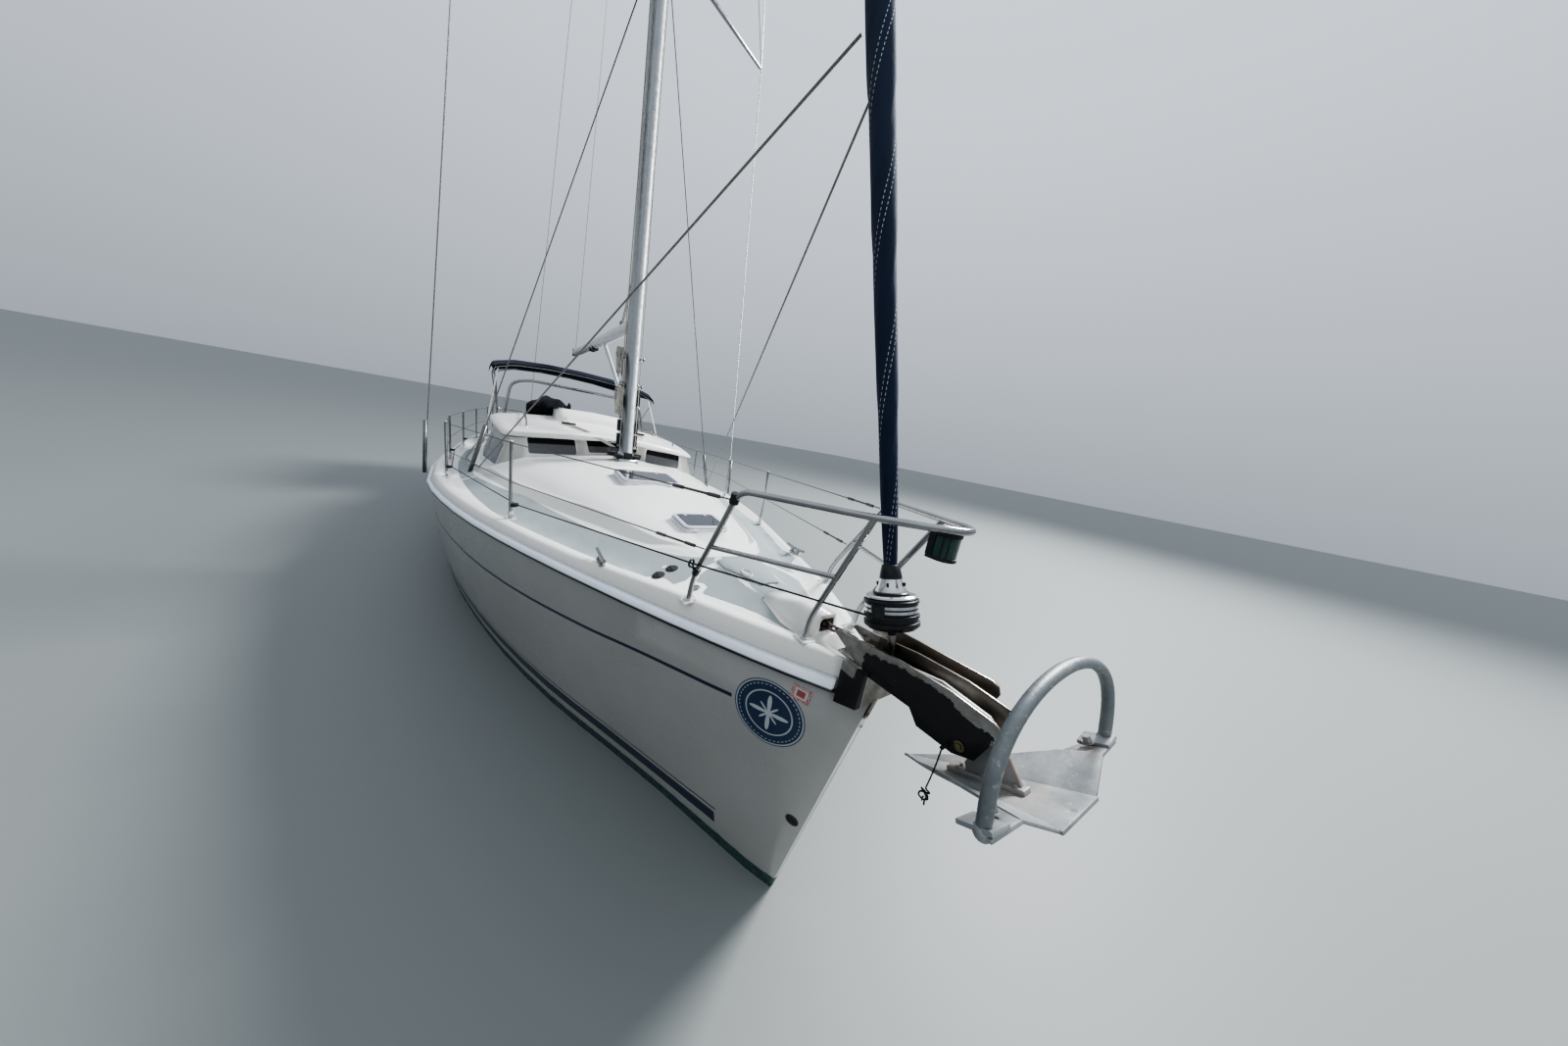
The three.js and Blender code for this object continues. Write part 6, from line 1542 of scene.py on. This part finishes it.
# %% [markdown]
# Its frame is three hoops that meet at a hinge on each side, with webbing
# straps that hold the front hoop forward. The arch ahead of it carries the
# mainsheet, so its tube is twice as stout.
# %% Bimini frame and arch
bm = bmesh.new()
for hx, hz in ((-2.52, 2.925), (-3.70, 3.060), (-4.88, 2.949)):
    half = [(1.49, -0.245), (1.45, -0.146), (1.15, -0.0356), (0.60, 0.0194), (0.0, 0.0344)]
    right = [(hx, -a, hz + b - 0.003) for a, b in half]
    path = ([(-3.70, -1.44, 1.95)] + right + [(x, -y, z) for x, y, z in right[:-1][::-1]]
            + [(-3.70, 1.44, 1.95)])
    add_tube(bm, path, 0.011, 5, 0.12)
for s in (-1, 1):
    add_tube(bm, [(-3.70, s * 1.44, 1.24), (-3.70, s * 1.44, 2.0)], 0.013, 6)
    before = set(bm.verts)
    slab(bm, disc(0.022, 18), -0.02, 0.02, 0.004)
    turn_to(bm, fresh_verts(bm, before), (-3.70, s * 1.44, 1.95), (0, 1, 0))
finished("bimini_hoops", bm, stainless, replaces=("bimini_frame",))
bm = bmesh.new()
def arch_half(s, x0, x1):
    return [(x0, s * 1.29, 1.44), (x0 - 0.04, s * 1.31, 1.90), (x1, s * 1.20, 2.56), (x1, s * 0.90, 2.66)]
for x0, x1 in ((-2.30, -2.45), (-2.70, -2.60)):
    add_tube(bm, arch_half(-1, x0, x1) + arch_half(1, x0, x1)[::-1], 0.025, 7, 0.16)
for s in (-1, 1):
    add_tube(bm, [(-2.45, s * 0.9, 2.655), (-2.60, s * 0.9, 2.655)], 0.016, 5)
    for x0 in (-2.30, -2.70):
        rounded_box(bm, (x0 - 0.05, s * 1.29 - 0.05, 1.43), (x0 + 0.05, s * 1.29 + 0.05, 1.452), 0.006)
finished("arch_tubes", bm, stainless, replaces=("arch",))
web_mat = canvas("strap_webbing", (0.55, 0.54, 0.50), (0.45, 0.44, 0.40), 900.0, 6.0)
bm = bmesh.new()
for s in (-1, 1):
    a, b = Vector((-2.52, s * 1.40, 2.78)), Vector((-1.55, s * 1.58, 1.42))
    before = set(bm.verts)
    rounded_box(bm, (-0.0012, -0.014, 0), (0.0012, 0.014, (b - a).length), 0.0006, 1)
    turn_to(bm, fresh_verts(bm, before), a, b - a)
finished("bimini_straps", bm, web_mat)
print("frame, arch and straps")

# %% [markdown]
# The stern rails, the wheel, the winches and the boarding ladder are all
# round bar or turned metal. They are rebuilt round where the solids are
# faceted, in the same places, and ride on the same bodies.
# %% Stern rails, ladder, wheel and winches
for side, s in (("starboard", -1), ("port", 1)):
    bm = flat_copy(f"pushpit_{side}", 0.5)
    finished(f"pushpit_{side}_finished", bm, stainless, sharp=50,
             replaces=(f"pushpit_{side}",))
bm = bmesh.new()
for s in (-1, 1):
    add_tube(bm, [(-6.222, s * 0.18, 0.33), (-6.222, s * 0.18, 1.21)], 0.013, 6)
for h in (0.52, 0.78, 1.04, 1.20):
    add_tube(bm, [(-6.222, -0.18, h), (-6.222, 0.18, h)], 0.011, 5)
    if h < 1.1:
        rounded_box(bm, (-6.235, -0.15, h + 0.008), (-6.205, 0.15, h + 0.016), 0.003)
add_tube(bm, [(-6.222, -0.23, 0.33), (-6.222, 0.23, 0.33)], 0.013, 6)
finished("boarding_ladder", bm, stainless, "ladder", replaces=("swim_ladder",))

HUB = Vector((-4.44, 0, 1.48))
bm = bmesh.new()
rim = [HUB + Vector((0, cos(a) * 0.48, sin(a) * 0.48)) for a in [2 * pi * i / 64 for i in range(65)]]
add_tube(bm, rim, 0.014, 6)
for k in range(6):
    a = 2 * pi * k / 6 + pi / 2
    add_tube(bm, [HUB, HUB + Vector((0, cos(a) * 0.478, sin(a) * 0.478))], 0.008, 5)
before = set(bm.verts)
slab(bm, disc(0.040, 28), -0.030, 0.0397, 0.006)
turn_to(bm, fresh_verts(bm, before), HUB, (1, 0, 0))
finished("wheel_finished", bm, stainless, "helm_wheel", replaces=("steering_wheel",))

for side, s in (("starboard", -1), ("port", 1)):
    bm = bmesh.new()
    profile = [(0, 0), (0.070, 0), (0.070, 0.024), (0.066, 0.030), (0.050, 0.034), (0.046, 0.050),
               (0.043, 0.080),
               (0.044, 0.120), (0.052, 0.130), (0.060, 0.140), (0.060, 0.156), (0.054, 0.160), (0, 0.160)]
    verts = [bm.verts.new((r, 0, h)) for r, h in profile]
    edges = [bm.edges.new(pair) for pair in zip(verts, verts[1:])]
    bmesh.ops.spin(bm, geom=verts + edges, cent=(0, 0, 0), axis=(0, 0, 1), angle=2 * pi, steps=40,
                   use_merge=True)
    bmesh.ops.remove_doubles(bm, verts=bm.verts, dist=1e-5)
    for k in range(20):
        a = 2 * pi * k / 20
        rounded_box(bm, (cos(a) * 0.0445 - 0.0012, sin(a) * 0.0445 - 0.0012, 0.054),
                    (cos(a) * 0.0445 + 0.0012, sin(a) * 0.0445 + 0.0012, 0.112), 0)
    slab(bm, disc(0.016, 8), 0.158, 0.1615, 0.001)
    bmesh.ops.recalc_face_normals(bm, faces=bm.faces)
    bmesh.ops.translate(bm, vec=(-3.0, s * 1.25, 1.485), verts=bm.verts)
    finished(f"winch_{side}_drum", bm, stainless, f"winch_{side}", 30,
             (f"primary_winch_{side}",))
print("stern gear ready")

# %% [markdown]
# Deck fittings near the bow: two foot switches for the windlass, a filler
# cap, the latch ring of the locker, bow cleats, and the small oval
# outlet low on the starboard bow.
# %% Deck fittings
def on_deck(px, py):
    hit, normal, _, _ = deck_surface.ray_cast(Vector((px, py, 3.0)), Vector((0, 0, -1)))
    return hit, normal
bm = bmesh.new()
for px, py in ((4.782, -0.479), (4.764, -0.395)):
    hit, normal = on_deck(px, py)
    before = set(bm.verts)
    slab(bm, disc(0.038, 28), -0.004, 0.004, 0.002)
    slab(bm, disc(0.026, 24), 0.004, 0.0075, 0.002, 3)
    rounded_box(bm, (-0.034, -0.006, 0.004), (0.034, 0.006, 0.010), 0.003)
    turn_to(bm, fresh_verts(bm, before), hit, normal)
finished("foot_switches", bm, black_rubber)
bm = bmesh.new()
hit, normal = on_deck(5.043, -0.361)
slab(bm, disc(0.029, 28), -0.003, 0.004, 0.0015)
slab(bm, disc(0.021, 24), 0.004, 0.0065, 0.001)
turn_to(bm, bm.verts[:], hit, normal)
finished("filler_cap", bm, stainless)
bm = bmesh.new()
slab(bm, [(0.052 * cos(a), 0.030 * sin(a)) for a in [2 * pi * i / 28 for i in range(28)]], -0.002, 0.002,
     0.001)
add_tube(bm, [Vector((0.043 * cos(a), 0.023 * sin(a), 0.004))
              for a in [2 * pi * i / 24 for i in range(25)]], 0.004, 4)
turn_to(bm, bm.verts[:], (5.098, -0.072, 1.607), (0.04, -0.14, 0.99))
finished("locker_latch", bm, plate_steel, "anchor_locker")
for side, s in (("starboard", -1), ("port", 1)):
    bm = bmesh.new()
    cx = 4.53
    cad_low, cad_high = (Vector(c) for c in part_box(f"cleat_bow_{side}"))
    cy, top = (cad_low.y + cad_high.y) / 2, cad_high.z
    add_tube(bm, [(cx - 0.11, cy, top - 0.012), (cx - 0.05, cy, top - 0.018), (cx + 0.05, cy, top - 0.018),
                  (cx + 0.11, cy, top - 0.012)], 0.011, 6, 0.03)
    for dx in (-0.036, 0.036):
        rounded_box(bm, (cx + dx - 0.013, cy - 0.011, cad_low.z),
                    (cx + dx + 0.013, cy + 0.011, top - 0.012), 0.006)
    rounded_box(bm, (cx - 0.06, cy - 0.017, top - 0.062), (cx + 0.06, cy + 0.017, top - 0.05), 0.004)
    finished(f"cleat_{side}_finished", bm, stainless, replaces=(f"cleat_bow_{side}",))
bm = bmesh.new()
slab(bm, [(0.036 * cos(a), 0.029 * sin(a)) for a in [2 * pi * i / 32 for i in range(32)]], -0.002, 0.004,
     0.0015)
slab(bm, [(0.026 * cos(a), 0.019 * sin(a)) for a in [2 * pi * i / 24 for i in range(24)]], 0.004, 0.0052,
     0.0006, 1)
rounded_box(bm, (-0.022, -0.004, 0.004), (0.022, 0.004, 0.010), 0.002)
outlet = Vector((0.55, -0.83, -0.13)).normalized()
spot, hull_normal, _, _ = hull_surface.ray_cast(Vector((5.829, -0.05, 0.587)) + outlet * 0.3, -outlet)
turn_to(bm, bm.verts[:], spot, hull_normal)
finished("bow_outlet", bm, black_rubber)
print("deck fittings ready")

# %% [markdown]
# Below the water the finish is plain and matt: antifouling on the keel and
# rudder, weathered bronze on the propeller and its strut.
# %% Underwater gear and cockpit
for node, mat, slot, body, bevel in (
        ("keel", antifoul, "antifoul", "yacht", 0), ("rudder", antifoul, "antifoul", "rudder_blade", 0.004),
        ("propeller", bronze, "bronze", "screw", 0), ("propeller_strut", bronze, "bronze", "yacht", 0.002),
        ("cockpit", deck_white, "gelcoat_white", "yacht", 0),
        ("steering_pedestal", deck_white, "gelcoat_white", "yacht", 0.008),
        ("stern_gate", deck_white, "gelcoat_white", "gate", 0.006),
        ("cockpit_locker_lid_starboard", nonskid, "nonskid_grey", "locker_starboard", 0.006),
        ("cockpit_locker_lid_port", nonskid, "nonskid_grey", "locker_port", 0.006),
        ("companionway_slide", smoked, "smoked_acrylic", "sliding_hatch", 0.004),
        ("companionway_door", smoked, "smoked_acrylic", "cabin_door", 0.003)):
    dressed(node, mat, body, 35, bevel)
print("aft pieces dressed")

# %% [markdown]
# The solids that keep their own shape get their finish here.
# %% Finish the remaining solids
palette = {"gelcoat_white": deck_white, "nonskid_grey": nonskid, "antifoul": antifoul,
           "smoked_acrylic": smoked,
           "stainless": stainless, "anodised": satin_alloy, "galvanised": zinc, "bronze": bronze,
           "canvas_navy": navy_canvas, "black_plastic": black_plastic, "rub_vinyl": rail_vinyl,
           "engine_paint": engine_grey, "cordage_black": black_cord}
for row in frame["record"]["subparts"]:
    ob = nodes[row["node"]]
    ob.data.materials.clear()
    ob.data.materials.append(palette[row["material_slot"]])
print("solids finished")
